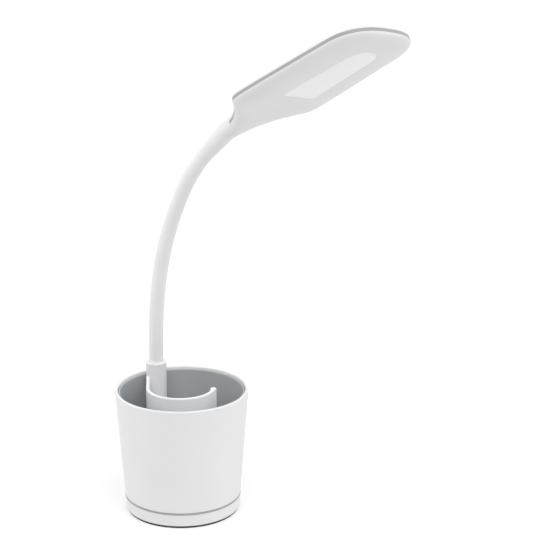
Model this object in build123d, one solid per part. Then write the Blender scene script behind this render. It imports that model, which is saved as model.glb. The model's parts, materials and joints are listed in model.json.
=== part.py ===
from build123d import *
from math import cos, log, radians, sin, sqrt
import os

# A desk lamp that stands in a round pen holder.
# The cup is the lamp's base. A weight in its foot keeps the lamp upright.
# A flexible neck leaves the back of the cup and carries a flat LED head.
# Origin: centre of the foot, on the table. +Z is up and -Y is the lamp's front.

# Cup, measured on its outside, in millimetres
rim_radius = 57.5
cup_height = 109.3
band_radius = 50.2
band_bottom = 12.6
band_height = 1.9
band_proud = 0.15
band_width = 3.6
shell_wall = 2.5
rim_round = 0.9
shell_flange_width = 4.5
shell_flange_height = 2.0

# Liner inside the cup
liner_wall = 1.6
liner_gap = 0.3
liner_drop = 2.2
liner_floor_top = 26.0
liner_floor_thickness = 2.0
liner_post_radius = 3.6
liner_post_shoulder = 5.6
liner_skirt_width = 2.4
liner_skirt_gap = 0.05
liner_post_circle = 35.0
liner_post_angles = [45, 135, 225, 315]

# Tray that closes the cup from below
tray_floor_bottom = 2.0
tray_floor_thickness = 2.4
tray_wall = 2.6
tray_draft = 0.7

# Rubber pad that the lamp stands on
foot_pad_inset = 1.2

# Steel weight
weight_radius = 43.0
weight_height = 9.6
weight_hole_gap = 0.7
weight_chamfer = 0.8

# Screws
screw_radius = 1.5
screw_head_radius = 2.8
screw_head_height = 1.6
screw_length = 12.0
screw_slot_width = 0.7
screw_slot_depth = 0.8
screw_gap = 0.2
small_screw_radius = 1.0
small_head_radius = 1.9
small_head_height = 1.1
small_screw_length = 5.0
switch_screw_length = 3.0

# White pillar that carries the neck, and its curved wall in the cup
pillar_offset = 44.0
pillar_radius = 9.0
pillar_top = 121.0
pillar_top_round = 1.2
pillar_gap = 0.3
pillar_channel_radius = 2.6
pillar_channel_offset = 41.0
pillar_screw_spread = 12.0
pillar_screw_offset = 40.5
divider_height = 82.6
divider_seat = 0.8
divider_radius = 29.9
divider_thickness = 3.0
divider_bead_radius = 2.7
divider_centre_x = 2.1
divider_centre_y = 5.1
divider_free_angle = -39.5
divider_arm_angle = 150.0
divider_pillar_gap = 0.1

# Neck: a steel chain of ball joints in a soft sleeve
neck_pitch = 23.0
neck_start = 128.0
neck_lean_angle = 15.0
neck_joints = 10
neck_rest_angles = [2.0, 8.2, 10.3, 8.7, 16.7]
sleeve_radius = 6.3
sleeve_bore = 4.35
sleeve_relief_radius = 4.95
sleeve_relief_depth = 4.5
sleeve_end_gap = 1.25
core_radius = 4.2
core_shoulder = 5.0
ball_radius = 3.0
ball_neck_radius = 1.6
socket_radius = 3.3
socket_lip = 1.9
lead_bore_radius = 0.9
stem_bottom = 64.0
stem_radius = 4.0
stem_bore_radius = 1.8
stem_fit_gap = 0.05

# Cuff and threaded elbow between the neck and the head
cuff_length = 31.5
cuff_start_radius = 6.5
elbow_corner_radius = 4.4
elbow_stub_radius = 3.6
elbow_stub_length = 9.0
elbow_nut_flats = 9.0
elbow_nut_height = 3.6
bulkhead_thickness = 3.5
root_bore_radius = 5.5
root_hollow_start = 12.0

# Head, measured along its own long axis from the neck
head_pitch_angle = 13.0
head_roll_angle = 14.7
head_length = 195.2
root_radius = 7.8
root_length = 57.0
root_collar_length = 16.0
head_width = 88.3
head_tip_width = 78.2
head_tip_length = 32.6
head_tip_corner_share = 0.762
shoulder_blend = 7.5
shell_depth = 7.9
shell_edge_zone = 20.0
shell_edge_least = 0.6
cover_height = 5.4
cover_edge_zone = 7.0
cover_seam_gap = 0.2
head_wall = 1.7
tip_flat = 0.35
plan_step = 0.05
trim_height = 2.2
trim_width = 2.4
trim_proud = 0.2
root_station_shares = [0.0, 0.13, 0.27, 0.4, 0.53, 0.66, 0.76, 0.85, 0.93, 1.01, 1.11, 1.25]
tip_station_shares = [0.0, 0.2, 0.38, 0.53, 0.66, 0.77, 0.86, 0.93, 0.97, 0.992]
middle_station_shares = [0.3, 0.65]

# Light window and what lies behind it
window_root_margin = 29.6
window_tip_margin = 23.5
window_width = 33.0
window_tip_width = 27.7
window_tip_length = 22.0
window_corner = 4.0
window_gap = 0.15
diffuser_flange = 2.0
diffuser_flange_thickness = 1.2
frame_width = 2.4
frame_inset = 0.4
led_board_margin = 5.0
led_board_tip_margin = 3.0
led_board_width = 48.0
led_board_thickness = 1.4
led_length = 3.5
led_width = 2.8
led_height = 0.8
led_rows = 3
led_columns = 10
led_row_spacing = 8.5
led_root_margin = 9.0
led_tip_margin = 11.2
board_post_radius = 2.3
board_post_inset = 3.0

# Push button on top of the head, and its switch
button_root_margin = 8.0
button_radius = 6.5
button_gap = 0.3
button_proud = 1.0
button_round = 0.6
button_flange = 1.6
button_flange_thickness = 0.8
button_travel = 0.6
plunger_radius = 1.5
plunger_gap = 0.3
switch_side = 6.0
switch_height = 3.2
switch_board_length = 20.0
switch_board_width = 24.0
switch_board_thickness = 1.2
switch_board_height = 2.1

# Driver board in the base, power inlet and lead
driver_length = 46.0
driver_width = 34.0
driver_thickness = 1.6
driver_post_radius = 2.4
driver_post_height = 3.2
coil_radius = 3.6
coil_height = 2.4
chip_length = 5.0
chip_width = 4.0
chip_height = 1.4
inlet_angle = 62.0
inlet_length = 12.0
inlet_bore_radius = 1.9
inlet_bore_depth = 9.5
inlet_pin_radius = 0.5
inlet_flange_radius = 4.6
inlet_flange_thickness = 1.2
inlet_nut_wall = 0.8
inlet_nut_height = 2.0
inlet_gap = 0.15
inlet_wire_radius = 0.8
inlet_wire_spacing = 1.9
lead_radius = 1.4
lead_clearance = 0.3
lead_bend_radius = 7.0
lead_climb = 34.0
grommet_wall = 1.0
grommet_lip = 0.5
head_lead_radius = 1.1
head_lead_drop = 2.2
head_lead_side = 15.5

# One overrun serves all cuts
overrun = 1.0

# Sizes that follow from the ones above
band_top = band_bottom + band_height
liner_floor_bottom = liner_floor_top - liner_floor_thickness
liner_top = cup_height - liner_drop
tray_floor_top = tray_floor_bottom + tray_floor_thickness
shell_flange_top = band_top + shell_flange_height
weight_top = tray_floor_top + weight_height
inlet_height = (shell_flange_top + liner_floor_bottom) / 2
inlet_nut_flats = liner_floor_bottom - shell_flange_top - inlet_gap * 2
inlet_radius = inlet_nut_flats / 2 - inlet_nut_wall
trim_half = trim_height / 2
window_start = root_length + window_root_margin
window_end = head_length - window_tip_margin
window_length = window_end - window_start
led_board_start = window_start - led_board_margin
led_board_length = window_end + led_board_tip_margin - led_board_start
led_column_spacing = (window_length - led_root_margin - led_tip_margin) / (led_columns - 1)
button_offset = root_length + button_root_margin
head_end = head_length - tip_flat
shell_floor_top = -shell_depth + head_wall
frame_bottom = shell_floor_top + diffuser_flange_thickness
led_board_bottom = -trim_half + screw_gap
frame_height = led_board_bottom - frame_bottom


def cup_radius(z):
    """Outer radius of the tapered cup at height z."""
    rise = (z - band_top) / (cup_height - band_top)
    return band_radius + (rim_radius - band_radius) * rise


def liner_radius(z):
    """Outer radius of the liner at height z."""
    return cup_radius(z) - shell_wall - liner_gap


def turned(points):
    """Solid turned about the Z axis from a closed outline of (radius, height) points."""
    outline = Plane.XZ * make_face(Polyline(*points, close=True))
    return revolve(outline, Axis.Z)


def upright(radius, bottom, top, x=0, y=0):
    """Upright cylinder between two heights."""
    return Pos(x, y, bottom) * extrude(Circle(radius), amount=top - bottom)


def screw(radius, head_radius, head_height, length):
    """Slotted screw: the head's top is at the origin and the shank points up."""
    body = upright(head_radius, 0, head_height) + upright(radius, head_height, length)
    slot = Rectangle(screw_slot_width, head_radius * 2 + overrun)
    return body - extrude(slot, amount=screw_slot_depth)


def post_places():
    """Places of the four liner posts, seen from above."""
    return [
        (liner_post_circle * cos(radians(a)), liner_post_circle * sin(radians(a)))
        for a in liner_post_angles
    ]


def make_foot_pad():
    return upright(band_radius - tray_draft - foot_pad_inset, 0, tray_floor_bottom)


def make_base_tray():
    top = band_radius - band_proud
    bottom = top - tray_draft
    outline = [
        (0, tray_floor_bottom),
        (bottom, tray_floor_bottom),
        (top, band_bottom),
        (top - tray_wall, band_bottom),
        (bottom - tray_wall, tray_floor_top),
        (0, tray_floor_top),
    ]
    tray = turned(outline)
    for x, y in post_places():
        tray -= upright(screw_head_radius + screw_gap, 0, tray_floor_bottom + screw_head_height, x, y)
        tray -= upright(screw_radius + screw_gap, 0, tray_floor_top + overrun, x, y)
    return tray


def make_accent_band():
    outer = band_radius + band_proud
    inner = band_radius - band_width
    return upright(outer, band_bottom, band_top) - upright(inner, 0, cup_height)


def make_cup_shell():
    flange_inner = cup_radius(band_top) - shell_wall - shell_flange_width
    outline = [
        (flange_inner, band_top),
        (cup_radius(band_top), band_top),
        (cup_radius(cup_height), cup_height),
        (cup_radius(cup_height) - shell_wall, cup_height),
        (cup_radius(shell_flange_top) - shell_wall, shell_flange_top),
        (flange_inner, shell_flange_top),
    ]
    shell = turned(outline)
    shell = fillet(shell.edges().group_by(Axis.Z)[-1], rim_round)
    hole = upright(inlet_radius + inlet_gap, -shell_wall * 2, shell_wall)
    return shell - inlet_plane() * hole


def make_cup_liner():
    top = liner_radius(liner_top)
    bottom = liner_radius(liner_floor_bottom)
    floor = liner_radius(liner_floor_top) - liner_wall
    outline = [
        (0, liner_floor_bottom),
        (bottom, liner_floor_bottom),
        (top, liner_top),
        (top - liner_wall, liner_top),
        (floor, liner_floor_top),
        (0, liner_floor_top),
    ]
    liner = turned(outline)
    skirt_outer = liner_radius(shell_flange_top) - liner_skirt_gap
    skirt = upright(skirt_outer, shell_flange_top, liner_floor_bottom)
    skirt -= upright(skirt_outer - liner_skirt_width, 0, liner_floor_bottom)
    notch = Box(inlet_nut_flats * 2, cup_height, inlet_length * 2)
    liner += skirt - inlet_plane() * Pos(0, liner_floor_bottom - inlet_height - cup_height / 2, 0) * notch
    for x, y in post_places():
        liner += upright(liner_post_radius, tray_floor_top, liner_floor_bottom, x, y)
        liner += upright(liner_post_shoulder, weight_top, liner_floor_bottom, x, y)
        bore_top = tray_floor_bottom + screw_head_height + screw_length
        liner -= upright(screw_radius, 0, bore_top, x, y)
    for x, y in driver_post_places():
        post_bottom = liner_floor_bottom - driver_post_height
        liner += upright(driver_post_radius, post_bottom, liner_floor_bottom, x, y)
        liner -= upright(small_screw_radius, 0, liner_floor_bottom, x, y)
    for x, y in pillar_screw_places():
        liner -= upright(screw_radius + screw_gap, 0, liner_floor_top + overrun, x, y)
    grommet_hole = lead_radius + lead_clearance + grommet_wall
    liner -= upright(grommet_hole, 0, liner_floor_top + overrun, 0, pillar_channel_offset)
    seat = offset(divider_outline(), amount=liner_skirt_gap)
    return liner - Pos(0, 0, liner_floor_top - divider_seat) * extrude(seat, amount=liner_floor_top)


def pillar_screw_places():
    """Places of the two screws that hold the pillar to the liner's floor."""
    return [(side * pillar_screw_spread / 2, pillar_screw_offset) for side in (-1, 1)]


def make_neck_pillar():
    pillar = upright(pillar_radius, liner_floor_top, pillar_top, 0, pillar_offset)
    pillar = fillet(pillar.edges().group_by(Axis.Z)[-1], pillar_top_round)
    low = liner_radius(liner_floor_top) - liner_wall - pillar_gap
    high = liner_radius(liner_top) - liner_wall - pillar_gap
    inside = [
        (0, liner_floor_top - overrun),
        (low - (high - low) * overrun / (liner_top - liner_floor_top), liner_floor_top - overrun),
        (high, liner_top),
        (high, pillar_top + overrun),
        (0, pillar_top + overrun),
    ]
    pillar = pillar & turned(inside)
    bore = stem_radius + stem_fit_gap
    pillar -= upright(bore, stem_bottom, pillar_top + overrun, 0, pillar_offset)
    pillar -= upright(pillar_channel_radius, 0, stem_bottom, 0, pillar_channel_offset)
    link = upright(pillar_channel_radius, lead_turn_top(), stem_bottom + overrun, 0, pillar_offset)
    pillar -= link
    middle = (pillar_channel_offset + pillar_offset) / 2
    pillar -= upright(pillar_channel_radius, lead_turn_top(), stem_bottom, 0, middle)
    for x, y in pillar_screw_places():
        pillar -= upright(screw_radius, 0, liner_floor_bottom + screw_length, x, y)
    return pillar


def lead_turn_top():
    """Height at which the lead moves across towards the stem."""
    return liner_floor_top + lead_climb / 2


def divider_outline():
    """Plan of the curved wall: an arc with a bead at one end and a straight arm at the other."""
    inner = divider_radius - divider_thickness
    middle = divider_radius - divider_thickness / 2
    ring = Circle(divider_radius) - Circle(inner)
    sweep = divider_arm_angle - divider_free_angle
    far = divider_radius * 2
    corners = [(0, 0)]
    for step in (0, 1 / 3, 2 / 3, 1):
        angle = radians(divider_free_angle + sweep * step)
        corners.append((far * cos(angle), far * sin(angle)))
    ring -= make_face(Polyline(*corners, close=True))
    free = radians(divider_free_angle)
    ring += Pos(middle * cos(free), middle * sin(free)) * Circle(divider_bead_radius)
    arm_start = Vector(middle * cos(radians(divider_arm_angle)), middle * sin(radians(divider_arm_angle)))
    pillar_place = Vector(-divider_centre_x, pillar_offset - divider_centre_y)
    tangent = Vector(sin(radians(divider_arm_angle)), -cos(radians(divider_arm_angle)))
    reach = (pillar_place - arm_start).length
    arm_turn = Axis((0, 0, 0), (0, 0, 1))
    arm = Rectangle(reach, divider_thickness, align=(Align.MIN, Align.CENTER))
    arm = arm.rotate(arm_turn, Vector(1, 0, 0).get_signed_angle(tangent, Vector(0, 0, 1)))
    ring += Pos(arm_start.X, arm_start.Y) * arm
    ring = Pos(divider_centre_x, divider_centre_y) * ring
    ring -= Pos(0, pillar_offset) * Circle(pillar_radius + divider_pillar_gap)
    return ring.faces().sort_by(SortBy.AREA)[-1]


def make_divider():
    bottom = liner_floor_top - divider_seat
    return Pos(0, 0, bottom) * extrude(divider_outline(), amount=divider_height + divider_seat)


def make_weight():
    weight = upright(weight_radius, tray_floor_top, weight_top)
    weight = chamfer(weight.edges().group_by(Axis.Z)[-1], weight_chamfer)
    for x, y in post_places():
        weight -= upright(liner_post_radius + weight_hole_gap, 0, cup_height, x, y)
    return weight


def make_base_screws():
    driver = screw(screw_radius, screw_head_radius, screw_head_height, screw_length)
    return [Pos(x, y, tray_floor_bottom) * driver for x, y in post_places()]


def make_pillar_screws():
    start = liner_floor_bottom - screw_head_height
    driver = screw(screw_radius, screw_head_radius, screw_head_height, screw_length)
    return [Pos(x, y, start) * driver for x, y in pillar_screw_places()]


def driver_post_places():
    """Places of the four posts that hold the driver board under the liner."""
    half_x = driver_length / 2 - driver_post_radius
    half_y = driver_width / 2 - driver_post_radius
    return [(sx * half_x, sy * half_y) for sx in (-1, 1) for sy in (-1, 1)]


def driver_bottom():
    """Height of the driver board's underside."""
    return liner_floor_bottom - driver_post_height - driver_thickness


def make_driver_board():
    outline = Rectangle(driver_length, driver_width)
    board = Pos(0, 0, driver_bottom()) * extrude(outline, amount=driver_thickness)
    for x, y in driver_post_places():
        board -= upright(small_screw_radius + screw_gap / 2, 0, cup_height, x, y)
    return board


def make_driver_parts():
    under = driver_bottom()
    coil_x = driver_length / 5
    parts = [
        upright(coil_radius, under - coil_height, under, -coil_x, 0),
        upright(coil_radius, under - coil_height, under, coil_x, 0),
    ]
    chip = extrude(Rectangle(chip_length, chip_width), amount=chip_height)
    for step in (-1, 0, 1):
        place = (step * coil_x, driver_width / 4, under - chip_height)
        parts.append(Pos(*place) * chip)
    return parts


def make_driver_screws():
    start = driver_bottom() - small_head_height
    driver = screw(small_screw_radius, small_head_radius, small_head_height, small_screw_length)
    return [Pos(x, y, start) * driver for x, y in driver_post_places()]


def inlet_plane():
    """Plane at the inlet's mouth: its Z axis points out of the cup, its Y axis up."""
    turn = radians(inlet_angle)
    out = Vector(cos(turn), sin(turn), 0)
    mouth = out * cup_radius(inlet_height) + Vector(0, 0, inlet_height)
    return Plane(origin=mouth, x_dir=(-sin(turn), cos(turn), 0), z_dir=out)


def make_power_inlet():
    flange_bottom = inlet_gap * 3
    flange_top = flange_bottom + inlet_flange_thickness
    body = upright(inlet_radius, -inlet_length, flange_bottom)
    body += upright(inlet_flange_radius, flange_bottom, flange_top)
    body -= upright(inlet_bore_radius, -inlet_bore_depth, flange_top + overrun)
    body += upright(inlet_pin_radius, -inlet_bore_depth, 0)
    return inlet_plane() * body


def make_inlet_nut():
    nut = RegularPolygon(inlet_nut_flats / 2, 6, major_radius=False)
    nut -= Circle(inlet_radius + stem_fit_gap)
    start = -shell_wall - inlet_nut_height - inlet_gap * 4
    return inlet_plane() * Pos(0, 0, start) * extrude(nut, amount=inlet_nut_height)


def make_inlet_wires():
    """Two short wires from the inlet's inner end to the driver board's edge."""
    start_plane = inlet_plane()
    inner = start_plane.origin - start_plane.z_dir * (inlet_length + inlet_wire_radius / 4)
    edge = driver_width / 2 + inlet_wire_radius / 4
    spread = inlet_wire_spacing
    wires = []
    for side in (-1, 1):
        start = inner + start_plane.x_dir * (side * spread / 2)
        turn = start - start_plane.z_dir * (inlet_wire_radius * 4)
        end_x = coil_radius * 2 - side * spread
        end = Vector(end_x, edge, inlet_height)
        before = Vector(end_x, edge + inlet_wire_radius * 4, inlet_height)
        path = FilletPolyline(start, turn, before, end, radius=[inlet_wire_radius * 3] * 2)
        section = Plane(origin=start, z_dir=-start_plane.z_dir) * Circle(inlet_wire_radius)
        wires.append(sweep(section, path=path))
    return wires


def make_lead_grommet():
    inner = lead_radius + lead_clearance
    outer = inner + grommet_wall - screw_gap / 2
    body = upright(outer, liner_floor_bottom, liner_floor_top, 0, pillar_channel_offset)
    lip = upright(outer + grommet_lip, liner_floor_bottom - grommet_lip, liner_floor_bottom, 0, pillar_channel_offset)
    return body + lip - upright(inner, 0, cup_height, 0, pillar_channel_offset)


def make_base_lead():
    lead_z = driver_bottom() + driver_thickness / 2
    points = [
        (0, driver_width / 2 + screw_gap, lead_z),
        (0, pillar_channel_offset, lead_z),
        (0, pillar_channel_offset, lead_turn_top() + lead_bend_radius),
        (0, pillar_offset, stem_bottom - lead_bend_radius),
        (0, pillar_offset, stem_bottom),
    ]
    bend = liner_floor_bottom - lead_z
    path = FilletPolyline(*points, radius=[bend, lead_bend_radius, lead_bend_radius])
    start = Plane(origin=points[0], z_dir=(0, 1, 0))
    lead = sweep(start * Circle(lead_radius), path=path)
    print("base lead: bend radii", bend, lead_bend_radius)
    print("base lead: volume share", lead.volume / (path.length * Circle(lead_radius).area))
    return lead


# The neck leans in one upright plane, so its joints follow from their bend angles.
def heading_axes():
    """Bend axis and leaning direction of the neck at rest."""
    turn = radians(neck_lean_angle)
    return Vector(cos(turn), sin(turn), 0), Vector(sin(turn), -cos(turn), 0)


def neck_planes():
    """One plane per joint: origin at the joint, X along the bend axis, Z along the link above."""
    bend_axis, forward = heading_axes()
    place = Vector(0, pillar_offset, neck_start)
    lean = 0
    planes = []
    for index in range(neck_joints):
        if index % 2 == 0:
            lean += neck_rest_angles[index // 2]
        along = Vector(0, 0, 1) * cos(radians(lean)) + forward * sin(radians(lean))
        planes.append(Plane(origin=place, x_dir=bend_axis, z_dir=along))
        place = place + along * neck_pitch
    return planes


def head_plane():
    """Plane of the head's parting line: X along the head, Z out of its top."""
    last = neck_planes()[-1]
    root = last.origin + last.z_dir * cuff_length
    along = last.z_dir.rotate(Axis((0, 0, 0), last.x_dir), head_pitch_angle)
    side = last.x_dir.rotate(Axis((0, 0, 0), along), -head_roll_angle)
    return Plane(origin=root, x_dir=along, z_dir=along.cross(side))


def joint_plane(index):
    """Plane that halves the bend at a joint: the sleeves end a little short of it."""
    planes = neck_planes()
    below = planes[index - 1].z_dir if index > 0 else Vector(0, 0, 1)
    halfway = (below + planes[index].z_dir).normalized()
    return Plane(origin=planes[index].origin, z_dir=halfway)


def block_above(plane, distance):
    """Block that fills the space above a plane, from a distance along its Z axis."""
    size = neck_pitch
    block = Box(size, size, size, align=(Align.CENTER, Align.CENTER, Align.MIN))
    return plane * Pos(0, 0, distance) * block


def block_below(plane, distance):
    """Block that fills the space below a plane, from a distance along its Z axis."""
    size = neck_pitch
    block = Box(size, size, size, align=(Align.CENTER, Align.CENTER, Align.MAX))
    return plane * Pos(0, 0, distance) * block


def with_socket(body, index):
    """Add the round socket end for the ball of the joint with this index."""
    plane = neck_planes()[index]
    head = Pos(*plane.origin) * Sphere(core_radius)
    cavity = Pos(*plane.origin) * Sphere(socket_radius)
    return body + head - cavity - block_above(plane, socket_lip)


def ball_end():
    """Ball at the joint, on the neck that joins it to its link."""
    return Sphere(ball_radius) + upright(ball_neck_radius, 0, core_shoulder)


def make_neck_core(index):
    """One link of the chain, from its own ball to the socket for the next."""
    plane = neck_planes()[index]
    link = plane * (ball_end() + upright(core_radius, core_shoulder, neck_pitch))
    link = with_socket(link, index + 1)
    return link - plane * upright(lead_bore_radius, -neck_pitch, neck_pitch)


def sleeve_tube(bottom, top):
    """Soft sleeve round a link."""
    return upright(sleeve_radius, bottom, top) - upright(sleeve_bore, bottom - overrun, top + overrun)


def sleeve_relief():
    """Room inside a sleeve's lower end for the socket that tilts into it."""
    return upright(sleeve_relief_radius, -neck_pitch, sleeve_end_gap + sleeve_relief_depth)


def make_neck_sleeve(index):
    """Sleeve of one link, with both ends cut square to the curve of the neck."""
    reach = neck_pitch / 4
    sleeve = sleeve_tube(-reach, neck_pitch + reach) - sleeve_relief()
    sleeve = neck_planes()[index] * sleeve
    sleeve -= block_below(joint_plane(index), sleeve_end_gap)
    return sleeve - block_above(joint_plane(index + 1), -sleeve_end_gap)


def base_neck_plane():
    """Plane at the first joint, upright, for the parts below it."""
    bend_axis, forward = heading_axes()
    return Plane(origin=(0, pillar_offset, neck_start), x_dir=bend_axis, z_dir=(0, 0, 1))


def make_base_sleeve():
    sleeve = base_neck_plane() * sleeve_tube(pillar_top - neck_start, sleeve_radius)
    return sleeve - block_above(joint_plane(0), -sleeve_end_gap)


def make_neck_stem():
    stem = upright(stem_radius, stem_bottom - neck_start, 0)
    stem += upright(core_radius, pillar_top - neck_start, 0)
    stem = with_socket(base_neck_plane() * stem, 0)
    bore = upright(stem_bore_radius, stem_bottom - neck_start - overrun, -socket_radius)
    return stem - base_neck_plane() * bore


def cuff_outline():
    """Outline of the tapered cuff, from the last joint to beyond the head's root."""
    end = cuff_length + root_radius
    slope = (root_radius - cuff_start_radius) / (cuff_length - sleeve_end_gap)
    end_radius = cuff_start_radius + slope * (end - sleeve_end_gap)
    relief_end = sleeve_end_gap + sleeve_relief_depth
    return [
        (sleeve_relief_radius, sleeve_end_gap),
        (cuff_start_radius, sleeve_end_gap),
        (end_radius, end),
        (sleeve_bore, end),
        (sleeve_bore, relief_end),
        (sleeve_relief_radius, relief_end),
    ]


def make_neck_cuff():
    cuff = neck_planes()[-1] * turned(cuff_outline())
    elbow = head_plane().origin
    cuff -= Pos(*elbow) * Sphere(elbow_corner_radius + screw_gap / 2)
    reach = head_width
    beyond = Pos(-cover_seam_gap / 2, 0, 0) * Box(
        reach, reach, reach, align=(Align.MIN, Align.CENTER, Align.CENTER)
    )
    return cuff - head_plane() * beyond


def make_neck_elbow():
    straight = ball_end() + upright(core_radius, core_shoulder, cuff_length)
    bore = upright(lead_bore_radius, -neck_pitch, cuff_length)
    elbow = neck_planes()[-1] * straight
    stub = Plane.YZ * Circle(elbow_stub_radius)
    stub_bore = Plane.YZ * Circle(lead_bore_radius)
    elbow += Pos(*head_plane().origin) * Sphere(elbow_corner_radius)
    elbow += head_plane() * extrude(stub, amount=elbow_stub_length)
    elbow -= neck_planes()[-1] * bore
    elbow -= head_plane() * extrude(stub_bore, amount=elbow_stub_length + overrun)
    return elbow


def make_elbow_nut():
    nut = RegularPolygon(elbow_nut_flats / 2, 6, major_radius=False)
    nut -= Circle(elbow_stub_radius + stem_fit_gap)
    nut = Plane.YZ * nut
    return head_plane() * Pos(bulkhead_thickness, 0, 0) * extrude(nut, amount=elbow_nut_height)


# The head's plan: a root that widens as a parabola, straight sides and an oval tip.
def head_half_width(x):
    """Half the head's width at distance x from the neck."""
    tip_start = head_length - head_tip_length
    slope = (head_tip_width - head_width) / 2 / (tip_start - root_length)
    side = head_width / 2 + slope * (x - root_length)
    if x > tip_start:
        along = min((x - tip_start) / head_tip_length, 1)
        power = log(1 / 2) / log(head_tip_corner_share)
        side = side * (1 - along ** power) ** (1 / power)
    root = root_radius + (head_width / 2 - root_radius) * (x / root_length) ** 2
    gap = sqrt((root - side) ** 2 + shoulder_blend ** 2)
    return (root + side - gap) / 2


def side_stretch(x):
    """How much longer the plan's edge is than its run along the head, at distance x."""
    before = head_half_width(max(x - plan_step, 0))
    after = head_half_width(min(x + plan_step, head_end))
    run = min(x + plan_step, head_end) - max(x - plan_step, 0)
    slope = (after - before) / run
    return sqrt(1 + slope ** 2), slope


def rounded_end(x, zone):
    """Share of the full depth that is left near the tip, over an edge zone."""
    past = max(x - (head_length - zone), 0) / zone
    return sqrt(max(1 - past ** 2, 0))


def root_share(x):
    """One at the neck, falling smoothly to nothing where the root ends."""
    along = min(x / root_length, 1)
    return (1 - along ** 2) ** 2


def shell_depth_at(x):
    """Depth of the shell under the parting line at distance x."""
    depth = shell_depth + (root_radius - shell_depth) * root_share(x)
    return trim_half + (depth - trim_half) * rounded_end(x, shell_edge_zone)


def cover_height_at(x):
    """Height of the cover over the parting line at distance x."""
    height = cover_height + (root_radius - cover_height) * root_share(x)
    return trim_half + (height - trim_half) * rounded_end(x, cover_edge_zone)


def head_stations(start, end):
    """Distances along the head at which its cross-sections are drawn."""
    tip_start = head_length - head_tip_length
    middle = tip_start - root_length * max(root_station_shares)
    stations = [root_length * share for share in root_station_shares]
    stations += [tip_start - middle * (1 - share) for share in middle_station_shares]
    stations += [tip_start + head_tip_length * share for share in tip_station_shares]
    inside = [x for x in stations if start + tip_flat < x < end - tip_flat]
    return [start] + inside + [end]


def section_width(x, wall):
    """Half the width of the head's cross-section, drawn in by a wall."""
    return head_half_width(x) - wall * side_stretch(x)[0]


def section_edges(x, base, depth, zone, wall):
    """Edges of the cross-section on one side of the parting line: a flat between two curves."""
    width = section_width(x, wall)
    edge = min(zone, width - shell_edge_least)
    flat = width - edge
    sign = 1 if base > 0 else -1
    tall = sign * (depth - wall - abs(base))
    knee = (flat + edge * sqrt(1 / 2), base + tall * sqrt(1 / 2))
    right = ThreePointArc((width, base), knee, (flat, base + tall))
    bottom = Line((flat, base + tall), (-flat, base + tall))
    left = ThreePointArc((-flat, base + tall), (-knee[0], knee[1]), (-width, base))
    return [right, bottom, left]


def section_plane(x):
    """Plane across the head at distance x."""
    return Plane(origin=(x, 0, 0), x_dir=(0, 1, 0), z_dir=(1, 0, 0))


def lower_edges(x, wall):
    return section_edges(x, -trim_half, shell_depth_at(x), shell_edge_zone, wall)


def upper_edges(x, wall):
    return section_edges(x, trim_half, cover_height_at(x), cover_edge_zone, wall)


def half_section(x, edges, base, wall):
    """Closed cross-section on one side of the parting line."""
    width = section_width(x, wall)
    return section_plane(x) * make_face(edges + [Line((-width, base), (width, base))])


def full_section(x):
    """Closed cross-section through both sides of the parting line."""
    width = section_width(x, 0)
    sides = [Line((side * width, -trim_half), (side * width, trim_half)) for side in (-1, 1)]
    return section_plane(x) * make_face(lower_edges(x, 0) + upper_edges(x, 0) + sides)


def lower_body(start, end, wall):
    """Lower half of the head between two distances, drawn in by a wall."""
    stations = head_stations(start, end)
    faces = [half_section(x, lower_edges(x, wall), -trim_half, wall) for x in stations]
    return loft(faces, ruled=True)


def upper_body(start, end, wall):
    """Upper half of the head between two distances, drawn in by a wall."""
    stations = head_stations(start, end)
    faces = [half_section(x, upper_edges(x, wall), trim_half, wall) for x in stations]
    return loft(faces, ruled=True)


def root_collar():
    """Upper half of the round collar at the neck end of the shell."""
    collar = loft([full_section(x) for x in head_stations(0, root_collar_length)], ruled=True)
    upper = Box(head_length, head_width, head_width, align=(Align.MIN, Align.CENTER, Align.MIN))
    return collar & Pos(0, 0, -trim_half) * upper


def root_bore():
    """Bore for the nut inside the collar."""
    length = root_collar_length + overrun - bulkhead_thickness
    bore = extrude(Plane.YZ * Circle(root_bore_radius), amount=length)
    return Pos(bulkhead_thickness, 0, 0) * bore


def stub_hole():
    """Hole for the threaded stub through the collar's end wall."""
    return extrude(Plane.YZ * Circle(elbow_stub_radius + stem_fit_gap), amount=root_collar_length)


def elbow_seat():
    """Recess in the collar's end wall for the round corner of the elbow."""
    depth = sqrt((elbow_corner_radius + stem_fit_gap) ** 2 - elbow_stub_radius ** 2)
    return extrude(Plane.YZ * Circle(elbow_corner_radius + stem_fit_gap * 2), amount=depth)


def window_outline(gain):
    """Plan of the light window, grown by a gain: straight sides and an oval tip."""
    start = window_start - gain
    tip_start = window_end - window_tip_length
    half = window_width / 2 + gain
    tip_half = window_tip_width / 2 + gain
    right = Line((start, half), (tip_start, tip_half))
    quarter = window_tip_length + gain
    knee = sqrt(1 / 2)
    near = ThreePointArc(
        (tip_start, tip_half),
        (tip_start + quarter * knee, tip_half * knee),
        (tip_start + quarter, 0),
    )
    far = ThreePointArc(
        (tip_start + quarter, 0),
        (tip_start + quarter * knee, -tip_half * knee),
        (tip_start, -tip_half),
    )
    left = Line((tip_start, -tip_half), (start, -half))
    end = Line((start, -half), (start, half))
    face = make_face([right, near, far, left, end])
    corners = face.vertices().group_by(Axis.X)[0]
    return fillet(corners, window_corner)


def board_post_places():
    """Places of the four posts that carry the LED board."""
    first = led_board_start + board_post_inset
    last = led_board_start + led_board_length - board_post_inset
    side = led_board_width / 2 - board_post_inset
    return [(x, sign * side) for x in (first, last) for sign in (-1, 1)]


def switch_post_places():
    """Places of the two posts that carry the switch board."""
    side = switch_board_width / 2 - board_post_inset
    return [(button_offset, sign * side) for sign in (-1, 1)]


def switch_board_bottom():
    """Height of the switch board's underside over the parting line."""
    return -switch_board_height - switch_board_thickness


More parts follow.
